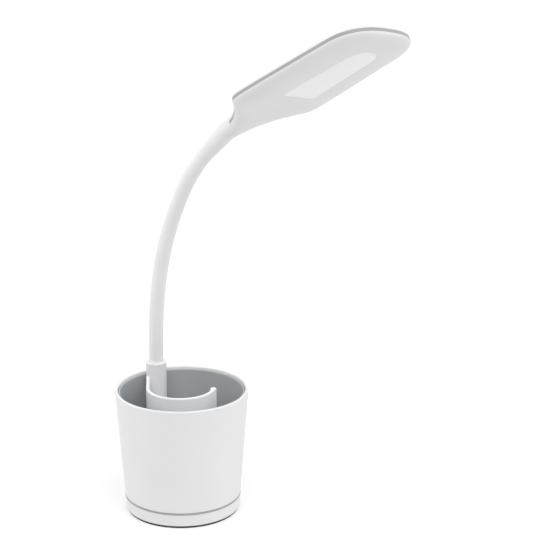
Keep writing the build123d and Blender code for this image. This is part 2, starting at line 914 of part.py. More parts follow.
def make_head_shell():
    shell = lower_body(0, head_end, 0)
    shell -= lower_body(root_hollow_start, head_length - head_wall * 2, head_wall)
    shell = shell + root_collar() - root_bore() - stub_hole() - elbow_seat()
    shell -= Pos(0, 0, -shell_depth - overrun) * extrude(window_outline(0), amount=shell_depth)
    post_bottom = shell_floor_top - head_wall / 2
    for x, y in board_post_places():
        shell += upright(board_post_radius, post_bottom, led_board_bottom, x, y)
        shell -= upright(small_screw_radius, shell_floor_top, led_board_bottom + overrun, x, y)
    for x, y in switch_post_places():
        shell += upright(board_post_radius, post_bottom, switch_board_bottom(), x, y)
        shell -= upright(small_screw_radius, shell_floor_top, switch_board_bottom() + overrun, x, y)
    return head_plane() * shell


def head_plan(gain, start, end):
    """Plan of the head between two distances, grown on all sides by a gain."""
    right = []
    for x in head_stations(start, end):
        stretch, slope = side_stretch(x)
        right.append((x - gain * slope / stretch, head_half_width(x) + gain / stretch))
    left = [(x, -y) for x, y in reversed(right)]
    return make_face(Polyline(*right, *left, close=True))


def make_head_trim():
    start = root_collar_length + cover_seam_gap
    ring = head_plan(trim_proud, start - overrun, head_end)
    ring -= head_plan(-trim_width, start - overrun * 2, head_end)
    clear = (start - cover_seam_gap) * 2
    ring -= Rectangle(clear + cover_seam_gap * 2, head_width)
    return head_plane() * Pos(0, 0, -trim_half) * extrude(ring, amount=trim_height)


def make_head_cover():
    start = root_collar_length + cover_seam_gap
    cover = upper_body(start, head_end, 0)
    cover -= upper_body(start - overrun, head_length - head_wall * 2, head_wall)
    hole = upright(button_radius + button_gap, -cover_height, cover_height * 2, button_offset, 0)
    return head_plane() * (cover - hole)


def make_diffuser():
    lens = extrude(window_outline(-window_gap), amount=head_wall)
    flange = extrude(window_outline(diffuser_flange), amount=diffuser_flange_thickness)
    return head_plane() * (Pos(0, 0, -shell_depth) * lens + Pos(0, 0, shell_floor_top) * flange)


def make_light_frame():
    ring = window_outline(frame_inset + frame_width) - window_outline(frame_inset)
    frame = Pos(0, 0, frame_bottom) * extrude(ring, amount=frame_height)
    for x, y in board_post_places():
        frame -= upright(board_post_radius + screw_gap, -shell_depth, 0, x, y)
    return head_plane() * frame


def make_led_board():
    place = led_board_start + led_board_length / 2
    outline = Pos(place, 0) * RectangleRounded(led_board_length, led_board_width, board_post_inset)
    board = Pos(0, 0, led_board_bottom) * extrude(outline, amount=led_board_thickness)
    for x, y in board_post_places():
        board -= upright(small_screw_radius + screw_gap / 2, -shell_depth, cover_height, x, y)
    return head_plane() * board


def make_leds():
    led = extrude(Rectangle(led_length, led_width), amount=led_height)
    leds = []
    for column in range(led_columns):
        for row in range(led_rows):
            x = window_start + led_root_margin + column * led_column_spacing
            y = (row - (led_rows - 1) / 2) * led_row_spacing
            leds.append(head_plane() * Pos(x, y, led_board_bottom - led_height) * led)
    return leds


def make_board_screws():
    driver = screw(small_screw_radius, small_head_radius, small_head_height, small_screw_length)
    driver = driver.rotate(Axis.X, 180)
    led_top = led_board_bottom + led_board_thickness + small_head_height
    switch_top = switch_board_bottom() + switch_board_thickness + small_head_height
    screws = [head_plane() * Pos(x, y, led_top) * driver for x, y in board_post_places()]
    short = screw(small_screw_radius, small_head_radius, small_head_height, switch_screw_length)
    short = short.rotate(Axis.X, 180)
    screws += [head_plane() * Pos(x, y, switch_top) * short for x, y in switch_post_places()]
    return screws


def make_switch_board():
    outline = Pos(button_offset, 0) * Rectangle(switch_board_length, switch_board_width)
    board = Pos(0, 0, switch_board_bottom()) * extrude(outline, amount=switch_board_thickness)
    for x, y in switch_post_places():
        board -= upright(small_screw_radius + screw_gap / 2, -shell_depth, cover_height, x, y)
    return head_plane() * board


def make_switch_body():
    body = extrude(Rectangle(switch_side, switch_side), amount=switch_height)
    body -= upright(plunger_radius + plunger_gap, switch_height / 4, switch_height + overrun)
    return head_plane() * Pos(button_offset, 0, -switch_board_height) * body


def button_top():
    """Height of the button's crown over the parting line."""
    return cover_height_at(button_offset) + button_proud


def button_flange_top():
    """Height of the button's flange, just under the cover."""
    return cover_height_at(button_offset) - head_wall - button_gap


def make_power_button():
    top = button_top()
    flange_top = button_flange_top()
    cap = upright(button_radius, flange_top - button_flange_thickness, top)
    cap = fillet(cap.edges().group_by(Axis.Z)[-1], button_round)
    flange = upright(button_radius + button_flange, flange_top - button_flange_thickness, flange_top)
    button = cap + flange
    return head_plane() * Pos(button_offset, 0, 0) * button


def make_switch_plunger():
    top = button_flange_top() - button_flange_thickness
    bottom = -switch_board_height + switch_height / 4 + button_travel + plunger_gap
    return head_plane() * upright(plunger_radius, bottom, top, button_offset, 0)


def make_head_lead():
    start = elbow_stub_length + head_lead_radius / 2
    middle_x = (root_length + root_collar_length) / 2
    low = -head_lead_drop
    end_x = led_board_start - screw_gap
    end_z = led_board_bottom + led_board_thickness / 2
    points = [
        (start, 0, 0),
        (root_collar_length, 0, 0),
        (middle_x, head_lead_side / 2, low),
        (root_length, head_lead_side, low),
        (end_x, head_lead_side, end_z),
    ]
    radii = [head_lead_radius * 8, head_lead_radius * 8, head_lead_radius * 8]
    path = FilletPolyline(*points, radius=radii)
    section = Plane.YZ * Circle(head_lead_radius)
    lead = sweep(Pos(*points[0]) * section, path=path)
    print("head lead: bend radius", radii[0])
    print("head lead: volume share", lead.volume / (path.length * Circle(head_lead_radius).area))
    return head_plane() * lead


def write(name, shape):
    """Write one named piece, or one named group of like pieces, as a STEP file."""
    if isinstance(shape, list):
        shape = Compound(children=shape)
    shape.label = name
    export_step(shape, f"parts/{name}.step")


def main():
    os.makedirs("parts", exist_ok=True)
    write("foot_pad", make_foot_pad())
    write("base_tray", make_base_tray())
    write("accent_band", make_accent_band())
    write("cup_shell", make_cup_shell())
    write("cup_liner", make_cup_liner())
    write("cup_divider", make_divider())
    write("neck_pillar", make_neck_pillar())
    write("base_weight", make_weight())
    write("base_screws", make_base_screws())
    write("pillar_screws", make_pillar_screws())
    write("driver_board", make_driver_board())
    write("driver_components", make_driver_parts())
    write("driver_screws", make_driver_screws())
    write("power_inlet", make_power_inlet())
    write("inlet_nut", make_inlet_nut())
    write("inlet_wires", make_inlet_wires())
    write("lead_grommet", make_lead_grommet())
    write("base_lead", make_base_lead())
    write("neck_stem", make_neck_stem())
    write("neck_sleeve_0", make_base_sleeve())
    for index in range(neck_joints - 1):
        write(f"neck_core_{index + 1}", make_neck_core(index))
        write(f"neck_sleeve_{index + 1}", make_neck_sleeve(index))
    write("neck_elbow", make_neck_elbow())
    write("neck_cuff", make_neck_cuff())
    write("elbow_nut", make_elbow_nut())
    write("head_shell", make_head_shell())
    write("head_trim", make_head_trim())
    write("head_cover", make_head_cover())
    write("diffuser", make_diffuser())
    write("light_frame", make_light_frame())
    write("led_board", make_led_board())
    write("leds", make_leds())
    write("board_screws", make_board_screws())
    write("switch_board", make_switch_board())
    write("switch_body", make_switch_body())
    write("switch_plunger", make_switch_plunger())
    write("power_button", make_power_button())
    write("head_lead", make_head_lead())


main()
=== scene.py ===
# %% [markdown]
# # A desk lamp that is also a pen holder
#
# The lamp is a white cup on a round foot, a soft neck and a flat head with an opal window.
# The engineering model is already packed, so this file starts from it and dresses it: every
# visible skin is drawn again as a smooth surface, and every part inside gets its own finish.
# All sizes are in millimetres until a mesh is made, because that is how the parts were drawn.

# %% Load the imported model
import json
import math
import bmesh
import bpy
import numpy as np
from mathutils import Matrix


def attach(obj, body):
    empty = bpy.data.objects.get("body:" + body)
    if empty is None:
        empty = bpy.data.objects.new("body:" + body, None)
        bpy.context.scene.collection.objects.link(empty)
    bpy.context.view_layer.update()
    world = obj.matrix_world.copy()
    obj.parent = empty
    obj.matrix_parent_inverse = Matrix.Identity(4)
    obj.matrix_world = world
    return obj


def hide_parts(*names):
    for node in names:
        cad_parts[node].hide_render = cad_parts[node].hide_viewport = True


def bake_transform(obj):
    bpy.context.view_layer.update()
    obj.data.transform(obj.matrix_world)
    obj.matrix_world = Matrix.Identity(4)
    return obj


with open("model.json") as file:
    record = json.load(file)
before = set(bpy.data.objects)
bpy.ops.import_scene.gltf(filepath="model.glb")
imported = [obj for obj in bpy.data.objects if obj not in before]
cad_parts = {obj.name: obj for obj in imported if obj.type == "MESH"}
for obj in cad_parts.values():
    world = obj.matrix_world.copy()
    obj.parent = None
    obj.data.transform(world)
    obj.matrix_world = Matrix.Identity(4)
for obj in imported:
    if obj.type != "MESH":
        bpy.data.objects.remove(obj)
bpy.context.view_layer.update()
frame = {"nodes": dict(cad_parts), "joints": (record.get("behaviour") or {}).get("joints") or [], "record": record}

# %% [markdown]
# ## From a grid of points to a mesh
#
# A smooth moulded part is easiest to describe as a grid: a function of two parameters gives
# every point at once as one array. Modelling by hand with loop cuts would work too, but the
# formula keeps the wall even and can be changed by one number. The helper below joins
# the grid's points into quads, merges the points that meet at seams and poles, turns all faces
# outwards, and marks edges over a given angle as sharp, so that rounds shade softly.

# %% Grid helper
MM = 0.001
MERGE_DISTANCE, SHARP_ANGLE = 2e-6, math.radians(38)


def surface(name, *patches):
    """Object made of patches. A patch is an array rows x columns x 3 in millimetres;
    neighbouring rows and columns are joined by quads, and equal points are merged."""
    corners, start = [], 0
    for patch in patches:
        rows, columns = patch.shape[:2]
        index = start + np.arange(rows * columns).reshape(rows, columns)
        quads = [index[:-1, :-1], index[:-1, 1:], index[1:, 1:], index[1:, :-1]]
        corners.append(np.stack(quads, -1).reshape(-1, 4))
        start += rows * columns
    points = np.concatenate([patch.reshape(-1, 3) for patch in patches])
    mesh = bpy.data.meshes.new(name)
    mesh.from_pydata((points * MM).tolist(), [], np.concatenate(corners).tolist())
    open_edges = clean(mesh)
    shade_softly(mesh)
    piece = bpy.data.objects.new(name, mesh)
    bpy.context.scene.collection.objects.link(piece)
    print(f"{name}: {len(mesh.polygons)} faces, {open_edges} open edges")
    return piece


def clean(mesh):
    """Merges equal points, drops edges that carry no face and turns all faces outwards. Returns
    the number of edges that don't join exactly two faces."""
    work = bmesh.new()
    work.from_mesh(mesh)
    bmesh.ops.remove_doubles(work, verts=work.verts, dist=MERGE_DISTANCE)
    bmesh.ops.dissolve_degenerate(work, edges=work.edges, dist=MERGE_DISTANCE / 2)
    bare = [edge for edge in work.edges if not edge.link_faces]
    bmesh.ops.delete(work, geom=bare, context="EDGES")
    bmesh.ops.recalc_face_normals(work, faces=work.faces)
    if work.calc_volume(signed=True) < 0:
        bmesh.ops.reverse_faces(work, faces=work.faces)
    open_edges = sum(len(edge.link_faces) != 2 for edge in work.edges)
    work.to_mesh(mesh)
    work.free()
    return open_edges


def shade_softly(mesh):
    """Smooth shading, except over edges sharper than the sharp angle."""
    mesh.polygons.foreach_set("use_smooth", np.ones(len(mesh.polygons), bool))
    mesh.set_sharp_from_angle(angle=SHARP_ANGLE)


def closed(grid, axis=0):
    """The grid with its first row (axis 0) or column (axis 1) added again at the end."""
    first = grid[:1] if axis == 0 else grid[:, :1]
    return np.concatenate([grid, first], axis)


def raised(plan, height):
    """Grid of plan points (x, y) with their height added as z."""
    return np.concatenate([plan, np.broadcast_to(height, plan.shape[:2])[..., None]], 2)


def end_caps(grid):
    """Two patches that close the grid's first and last row, each joined to its middle point."""
    return [np.stack([row, np.broadcast_to(row.mean(0), row.shape)]) for row in (grid[0], grid[-1])]


# %% [markdown]
# ## Outlines with rounded corners
#
# No moulded corner is truly sharp, and a tiny radius is what catches a line of light. The
# outline of each turned part is a few corner points, and every corner gets its own radius.
# A point is also added just before and after each arc, which keeps the flat beside it flat
# when the faces are shaded smooth.


# %% Rounded outline and lathe
def rectangle(inner, outer, bottom, top):
    """Corners of an upright rectangle between two distances and two heights."""
    return np.array([(inner, bottom), (outer, bottom), (outer, top), (inner, top)], float)


def rounded(corners, radii, steps=6, hold=0.4, most=0.3):
    """Closed outline: each corner is cut back by radius / tan(half its angle) along both sides,
    and an arc about the point on the corner's bisector joins the two cuts. The point before and
    after each arc is the hold away, but takes no more than the share most of the free side."""
    point = np.array(corners, float)
    radius = np.broadcast_to(np.array(radii, float), len(point))[:, None]
    back, ahead = np.roll(point, 1, 0) - point, np.roll(point, -1, 0) - point
    back_run = np.linalg.norm(back, axis=1, keepdims=True)
    ahead_run = np.linalg.norm(ahead, axis=1, keepdims=True)
    back, ahead = back / back_run, ahead / ahead_run
    half = np.arccos(np.clip((back * ahead).sum(1, keepdims=True), -1, 1)) / 2
    cut = radius / np.tan(half)
    bisector = back + ahead
    bisector /= np.maximum(np.linalg.norm(bisector, axis=1, keepdims=True), 1e-9)
    middle = point + bisector * radius / np.sin(half)
    first, last = point + back * cut - middle, point + ahead * cut - middle
    share = np.linspace(0, 1, steps + 1)[None, :, None]
    arc = first[:, None] * (1 - share) + last[:, None] * share
    arc /= np.maximum(np.linalg.norm(arc, axis=2, keepdims=True), 1e-9)
    arc = middle[:, None] + arc * radius[:, None]
    room_back = np.maximum(back_run - cut - np.roll(cut, 1, 0), 0) * most
    room_ahead = np.maximum(ahead_run - cut - np.roll(cut, -1, 0), 0) * most
    before = point + back * (cut + np.minimum(hold, room_back))
    after = point + ahead * (cut + np.minimum(hold, room_ahead))
    return np.concatenate([before[:, None], arc, after[:, None]], 1).reshape(-1, 2)


def turned(outline, turns=192, centre=(0, 0)):
    """Grid of an outline of (radius, height) points carried round an upright axis:
    x = radius cos a, y = radius sin a, z = height."""
    angle = np.linspace(0, 2 * np.pi, turns, endpoint=False)[None]
    radius, height = outline[:, :1], outline[:, 1:]
    x, y = centre[0] + radius * np.cos(angle), centre[1] + radius * np.sin(angle)
    return closed(closed(np.stack([x, y, height + 0 * angle], -1)), 1)


print("a square with 1 mm corners has", len(rounded(rectangle(0, 9, 0, 9), 1)), "points")

# %% [markdown]
# ## The cup
#
# The cup is one straight taper from the grey band up to a rounded rim. Inside it stands a
# second, light grey cup whose lip stays a little below the white rim, which gives the rim its
# thin bright line. Both are lathe shapes. The Screw modifier could turn their outlines, but
# turning them as grids lets one formula for the taper set both walls.

# %% Cup sizes
BAND_BOTTOM, BAND_TOP, CUP_TOP = 12.6, 14.5, 109.3
BAND_RADIUS, RIM_RADIUS = 50.2, 57.5
SHELL_WALL, SHELL_FLOOR, SHELL_OPENING = 2.5, 16.5, 43.2
LINER_WALL, LINER_GAP = 1.6, 0.3
LINER_UNDERSIDE, LINER_FLOOR, LINER_TOP = 24.0, 26.0, 107.1


def cup_radius(height):
    """Straight taper: the radius grows in step with the height over the band."""
    rise = (height - BAND_TOP) / (CUP_TOP - BAND_TOP)
    return BAND_RADIUS + (RIM_RADIUS - BAND_RADIUS) * rise


def liner_radius(height):
    """Outside of the grey liner: the cup's inner wall less a small gap."""
    return cup_radius(height) - SHELL_WALL - LINER_GAP


# %% White cup shell
shell_outline = rounded(
    [
        (SHELL_OPENING, BAND_TOP),
        (cup_radius(BAND_TOP), BAND_TOP),
        (cup_radius(CUP_TOP), CUP_TOP),
        (cup_radius(CUP_TOP) - SHELL_WALL, CUP_TOP),
        (cup_radius(SHELL_FLOOR) - SHELL_WALL, SHELL_FLOOR),
        (SHELL_OPENING, SHELL_FLOOR),
    ],
    [0.2, 0.3, 1.1, 0.9, 0.4, 0.2],
)
cup = surface("cup_shell_skin", turned(shell_outline))

# %% Grey liner
SKIRT_INNER, SKIRT_OUTER = 45.1, 47.5
TRAY_FLOOR, POST_STEP, POST_TOP = 4.4, 14.0, LINER_UNDERSIDE + 0.6
POST_CIRCLE, POST_TIP_RADIUS, POST_RADIUS, POST_TURNS = 35.0, 3.6, 5.6, 32
liner_outline = rounded(
    [
        (0, LINER_UNDERSIDE),
        (liner_radius(LINER_UNDERSIDE), LINER_UNDERSIDE),
        (liner_radius(LINER_TOP), LINER_TOP),
        (liner_radius(LINER_TOP) - LINER_WALL, LINER_TOP),
        (liner_radius(LINER_FLOOR) - LINER_WALL, LINER_FLOOR),
        (0, LINER_FLOOR),
    ],
    [0, 0.5, 0.5, 0.5, 3.0, 0],
)
skirt_outline = rounded(rectangle(SKIRT_INNER, SKIRT_OUTER, SHELL_FLOOR, POST_TOP), [0.3, 0.3, 0, 0])
post_outline = rounded(
    [
        (0, TRAY_FLOOR),
        (POST_TIP_RADIUS, TRAY_FLOOR),
        (POST_TIP_RADIUS, POST_STEP),
        (POST_RADIUS, POST_STEP),
        (POST_RADIUS, POST_TOP),
        (0, POST_TOP),
    ],
    0.2,
)
posts = [
    turned(post_outline, POST_TURNS, (POST_CIRCLE * math.cos(angle), POST_CIRCLE * math.sin(angle)))
    for angle in np.radians([45, 135, 225, 315])
]
liner = surface("cup_liner_skin", turned(liner_outline), turned(skirt_outline), *posts)

# %% [markdown]
# ## The foot
#
# Under the cup come a thin grey band, a white foot ring with a slight draft, and a dark rubber
# pad that the lamp stands on. All three are turned. The pad's underside has shallow rings for
# grip. They could be bump in the rubber, but as points of its outline they are cheap and real.

# %% Band and foot ring
BAND_INNER, BAND_OUTER, PAD_RADIUS, PAD_TOP = 46.6, 50.35, 48.3, 2.0
TRAY_BOTTOM_RADIUS, TRAY_TOP_RADIUS, TRAY_WALL = 49.35, 50.05, 2.6
band_corners = rectangle(BAND_INNER, BAND_OUTER, BAND_BOTTOM, BAND_TOP)
band = surface("accent_band_ring", turned(rounded(band_corners, [0.1, 0.35, 0.35, 0.1])))
tray_outline = rounded(
    [
        (0, PAD_TOP),
        (TRAY_BOTTOM_RADIUS, PAD_TOP),
        (TRAY_TOP_RADIUS, BAND_BOTTOM),
        (TRAY_TOP_RADIUS - TRAY_WALL, BAND_BOTTOM),
        (TRAY_BOTTOM_RADIUS - TRAY_WALL, TRAY_FLOOR),
        (0, TRAY_FLOOR),
    ],
    [0, 0.9, 0.3, 0.3, 1.0, 0],
)
tray = surface("base_tray_skin", turned(tray_outline))

# %% Foot pad
GRIP_START, GRIP_END, GRIP_PITCH = 14.0, 44.0, 6.0
GROOVE_WIDTH, GROOVE_SLOPE, GROOVE_DEPTH = 2.6, 0.6, 0.5
near = np.arange(GRIP_START, GRIP_END, GRIP_PITCH)
far = near + GROOVE_WIDTH
groove = np.stack([near, near + GROOVE_SLOPE, far - GROOVE_SLOPE, far], 1).reshape(-1)
groove_height = np.tile([0, GROOVE_DEPTH, GROOVE_DEPTH, 0], len(near))
pad_edge = [(PAD_RADIUS, 0), (PAD_RADIUS, PAD_TOP), (0, PAD_TOP)]
pad_radii = [0] + [0.1] * len(groove) + [0.6, 0.2, 0]
pad_outline = rounded([(0, 0), *zip(groove, groove_height), *pad_edge], pad_radii, steps=3)
pad = surface("foot_pad_rubber", turned(pad_outline))

# %% [markdown]
# ## The curved wall and the pillar
#
# The wall that divides the cup is a moulded strip that stands on edge: an arc that ends in a
# round bead on the right and runs on as a straight arm to the pillar at the back. A curve with
# a bevel could follow it, but would end without the bead. So its plan is a path with a half
# thickness, and that plan is carried up in rows that draw in over the top edge, so that the
# edge is rounded all along. The pillar is a round post whose back is trimmed to follow the
# liner.

# %% Curved wall
WALL_CENTRE = np.array([2.1, 5.1])
WALL_RADIUS, WALL_HALF, BEAD_RADIUS = 28.4, 1.5, 2.7
ARM_ANGLE, FREE_ANGLE, ARM_LENGTH, ARM_STOP = math.radians(150), math.radians(-39.5), 30.5, 0.6
WALL_BOTTOM, WALL_MIDDLE, WALL_TOP, WALL_ROUND, WALL_CHAMFER = 25.2, 60.0, 108.6, 1.2, 0.3
ARM_STEPS, ARC_STEPS, BEAD_STEPS, RIM_STEPS, FULL_INSET = 40, 150, 13, 5, 9.0


def wall_path():
    """Middle of the wall from the pillar to the free end: a straight run, an arc about the
    wall's centre, and a short straight run through the bead. Returns points and directions."""
    tangent = np.array([math.sin(ARM_ANGLE), -math.cos(ARM_ANGLE)])
    start = WALL_RADIUS * np.array([math.cos(ARM_ANGLE), math.sin(ARM_ANGLE)])
    arm = start + np.linspace(ARM_LENGTH, ARM_STOP, ARM_STEPS)[:, None] * tangent
    angle = np.linspace(ARM_ANGLE, FREE_ANGLE + 2 * math.pi, ARC_STEPS)
    arc = WALL_RADIUS * np.stack([np.cos(angle), np.sin(angle)], 1)
    arc_way = np.stack([-np.sin(angle), np.cos(angle)], 1)
    past = BEAD_RADIUS * np.sin(np.linspace(0, np.pi / 2, BEAD_STEPS + 1))[1:, None]
    bead = arc[-1] + past * arc_way[-1]
    arm_way, bead_way = np.tile(-tangent, (ARM_STEPS, 1)), np.tile(arc_way[-1], (BEAD_STEPS, 1))
    return np.concatenate([arm, arc, bead]) + WALL_CENTRE, np.concatenate([arm_way, arc_way, bead_way])


def wall_grid():
    """The path's outline at each level. Its half thickness is even, and near the free end it is
    the height of a circle about the bead's middle. At the edges a row is drawn in by its inset,
    and the bead shrinks about its middle instead, so that its end stays round. The first and
    last row are drawn in so far that they close on the middle line."""
    path, way = wall_path()
    middle = path[-BEAD_STEPS - 1]
    in_bead = np.arange(len(path)) >= len(path) - BEAD_STEPS
    circle = np.sqrt(np.maximum(BEAD_RADIUS**2 - np.sum((path - middle) ** 2, 1), 0))
    half = np.where(in_bead, circle, np.maximum(circle, WALL_HALF))
    turn = np.linspace(0, np.pi / 2, RIM_STEPS + 1)
    rim_inset, rim = WALL_ROUND * (1 - np.cos(turn)), WALL_TOP - WALL_ROUND * (1 - np.sin(turn))
    inset = np.array([FULL_INSET, WALL_CHAMFER, 0, 0, *rim_inset, FULL_INSET])[:, None]
    foot = [WALL_BOTTOM, WALL_BOTTOM, WALL_BOTTOM + WALL_CHAMFER, WALL_MIDDLE]
    level = np.array([*foot, *rim, WALL_TOP])[:, None]
    shrink = np.clip(1 - inset / BEAD_RADIUS, 0, 1)
    centre = np.where(in_bead[:, None], middle + (path - middle) * shrink[..., None], path)
    offset = np.where(in_bead, half * shrink, np.maximum(half - inset, 0))
    side = np.stack([way[:, 1], -way[:, 0]], 1) * offset[..., None]
    plan = np.concatenate([centre + side, (centre - side)[:, ::-1]], 1)
    return closed(raised(plan, level), 1)


wall = surface("cup_divider_skin", wall_grid())

# %% Pillar
PILLAR_Y, PILLAR_RADIUS, PILLAR_TOP, PILLAR_GAP = 44.0, 9.0, 121.0, 0.3
PILLAR_ROWS, PILLAR_TURNS = 60, 96


def pillar_grid():
    """Round post with extra rows up its side. Where it would run into the liner, x and y are
    scaled down to the liner's inner radius less a gap."""
    outline = rectangle(0, PILLAR_RADIUS, LINER_FLOOR, PILLAR_TOP)
    outline = rounded(outline, [0, 0.3, 1.2, 0], steps=8)
    up = np.linspace(LINER_FLOOR + 1, PILLAR_TOP - 2, PILLAR_ROWS)
    sides = np.stack([np.full(PILLAR_ROWS, PILLAR_RADIUS), up], 1)
    outline = np.insert(outline, len(outline) // 2, sides, axis=0)
    grid = turned(outline, PILLAR_TURNS, (0, PILLAR_Y))
    from_axis = np.linalg.norm(grid[..., :2], axis=2)
    limit = liner_radius(np.minimum(grid[..., 2], LINER_TOP)) - LINER_WALL - PILLAR_GAP
    return raised(grid[..., :2] * np.minimum(limit / from_axis, 1)[..., None], grid[..., 2])


pillar = surface("neck_pillar_skin", pillar_grid())

# %% [markdown]
# ## The neck
#
# The real neck is a soft tube over a chain of small links. In the engineering model each link
# turns on its own joint, so the skin is made of ten pieces, one for each joint, and each piece
# runs from the middle of one link to the middle of the next. All follow one smooth line, so
# neighbours share their end ring and its direction and the tube looks like one. That line is
# a row of parabola arcs, each with a bending joint as its control point. A curve object with a
# bevel would be quicker to draw, but its rings couldn't be cut apart so exactly.

# %% Neck line
joints = [np.array(j["pos_m"]) / MM for j in frame["joints"] if j["type"] == "hinge"]
LAST = len(joints) - 1
LEAN, SKIN_START = math.radians(15), -0.32
NECK_RADIUS, NECK_BORE, CUFF_RADIUS, CUFF_LENGTH, SWELL_LENGTH = 6.3, 4.4, 7.8, 31.5, 40.0
bend_axis = np.array([math.cos(LEAN), math.sin(LEAN), 0])
link = np.linalg.norm(joints[LAST] - joints[LAST - 1])
last_way = (joints[LAST] - joints[LAST - 1]) / link
head_start = joints[LAST] + last_way * CUFF_LENGTH
chain = np.array([joints[0] - [0, 0, link], *joints])
places = np.array([SKIN_START, *np.arange(0.5, len(joints))])


def neck_line(place):
    """Points and directions of the neck's middle line at places counted in joints. About each
    bending joint it is (1-t)^2 a + 2t(1-t) joint + t^2 b, where a and b are the joints before and
    after it, and past the last joint it runs straight on."""
    bend = np.clip(2 * np.round(place / 2), 0, LAST - 1).astype(int)
    t = np.minimum((place - bend + 1) / 2, 1)[:, None]
    a, joint, b = chain[bend], chain[bend + 1], chain[bend + 2]
    past = np.maximum(place - LAST, 0)[:, None] * link
    forward = (1 - t) * (joint - a) + t * (b - joint)
    centre = (1 - t) ** 2 * a + 2 * t * (1 - t) * joint + t**2 * b + past * last_way
    return centre, forward / np.linalg.norm(forward, axis=1, keepdims=True)


stops = neck_line(places)[0]
print("the neck starts at", np.round(stops[0], 2), "and the head at", np.round(head_start, 2))

# %% Neck tube
TUBE_RINGS, TUBE_AROUND, DOME_STEPS = 23, 64, 15


def neck_radius(points):
    """Radius of the sleeve: even, then a smooth swell 3s^2 - 2s^3 towards the head."""
    left_over = np.linalg.norm(points - head_start, axis=1)
    share = np.clip(1 - left_over / SWELL_LENGTH, 0, 1)
    return NECK_RADIUS + (CUFF_RADIUS - NECK_RADIUS) * share * share * (3 - 2 * share)


def tube(start, end):
    """Hollow tube along the neck's line between two places, with a flat ring at each end."""
    centre, forward = neck_line(np.linspace(start, end, TUBE_RINGS))
    across = np.cross(forward, bend_axis)
    radius = np.concatenate([neck_radius(centre), np.full(TUBE_RINGS, NECK_BORE)])[:, None, None]
    centre, across = (np.concatenate([a, a[::-1]])[:, None] for a in (centre, across))
    angle = np.linspace(0, 2 * np.pi, TUBE_AROUND, endpoint=False)[None, :, None]
    grid = centre + radius * (np.cos(angle) * bend_axis + np.sin(angle) * across)
    return closed(closed(grid), 1)


# %% Neck pieces
neck_pieces = [surface(f"neck_skin_{k}", tube(places[k], places[k + 1])) for k in range(len(joints))]
straight = tube(places[-1], LAST + CUFF_LENGTH / link)[:TUBE_RINGS]
lift = np.linspace(0, np.pi / 2, DOME_STEPS + 1)[1:, None, None]
ring = straight[-1] - head_start
dome = head_start + ring * np.cos(lift) + last_way * CUFF_RADIUS * np.sin(lift)
base = np.broadcast_to(stops[-1], (1,) + ring.shape)
cuff = surface("neck_cuff_skin", np.concatenate([base, straight, dome]))

# %% [markdown]
# ## The head's frame and plan
#
# The head is drawn lying flat, with x along it from the neck, y across and z out of its top,
# and then set on the neck: tilted up about the bend axis and rolled about its own length. Its
# plan is a root that widens as a parabola, straight sides and an oval tip. The same plan, drawn
# in by a distance, gives the edge of the flat underside and the inside of the wall.

# %% Head frame
PITCH, ROLL = math.radians(13), math.radians(-14.7)


def rotated(vector, axis, angle):
    """Vector v turned about an axis by an angle a: v cos a + (axis x v) sin a
    + axis (axis . v)(1 - cos a)."""
    return (
        vector * math.cos(angle)
        + np.cross(axis, vector) * math.sin(angle)
        + axis * np.dot(axis, vector) * (1 - math.cos(angle))
    )


head_x = rotated(last_way, bend_axis, PITCH)
head_y = rotated(bend_axis, head_x, ROLL)
head_axes = np.array([head_x, head_y, np.cross(head_x, head_y)])
press = next(j for j in frame["joints"] if j["name"] == "button_press")
print("the head's top is off the button's line by", np.round(head_axes[2] + press["axis"], 4))


def on_head(grid):
    """Points drawn in the head's own frame, moved to where the head is."""
    return head_start + grid @ head_axes


# %% Head plan
ROOT_RADIUS, ROOT_LENGTH, ROOT_DENSE_END, HEAD_END = CUFF_RADIUS, 57.0, 90.0, 194.85
HALF_WIDTH, SIDE_SLOPE, TIP_START, SHOULDER_BLEND = 44.15, 0.0478, 162.6, 7.5
TIP_CORNER = 0.762
TIP_POWER = math.log(0.5) / math.log(TIP_CORNER)
HEAD_WALL, PARTING = 1.7, 1.35


def stations(start, root_steps=52, body_steps=24, tip_steps=34):
    """Stations from root to tip: distance x, then the tip's two shares, how far along its length
    and how wide, with x^p + y^p = 1, where p makes them equal at the tip's corner. They are
    dense at the root and near the very end."""
    root = np.linspace(start, ROOT_DENSE_END, root_steps)
    body = np.linspace(ROOT_DENSE_END, TIP_START, body_steps + 1)[1:]
    angle = np.linspace(0, np.pi / 2, tip_steps + 1)[1:]
    x = np.concatenate([root, body, np.full(tip_steps, TIP_START)])
    along = np.concatenate([np.zeros(root_steps + body_steps), np.sin(angle) ** (2 / TIP_POWER)])
    wide = np.concatenate([np.ones(root_steps + body_steps), np.cos(angle) ** (2 / TIP_POWER)])
    wide[-1] = 0
    return x[:, None], along[:, None], wide[:, None]


def root_stretch(x):
    """Length of the root's edge for each millimetre along the head: sqrt(1 + slope squared)."""
    slope = 2 * (HALF_WIDTH - ROOT_RADIUS) * np.minimum(x, ROOT_LENGTH) / ROOT_LENGTH**2
    return np.sqrt(1 + slope**2)


def half_width(x, inset=0):
    """Half the plan's width before the tip, drawn in by a distance: the smaller of root and side,
    blended softly as (a + b - sqrt((a - b)^2 + blend^2)) / 2."""
    root = ROOT_RADIUS + (HALF_WIDTH - ROOT_RADIUS) * (x / ROOT_LENGTH) ** 2
    root = root - inset * root_stretch(x)
    side = HALF_WIDTH - SIDE_SLOPE * (x - ROOT_LENGTH) - inset
    return (root + side - np.sqrt((root - side) ** 2 + SHOULDER_BLEND**2)) / 2


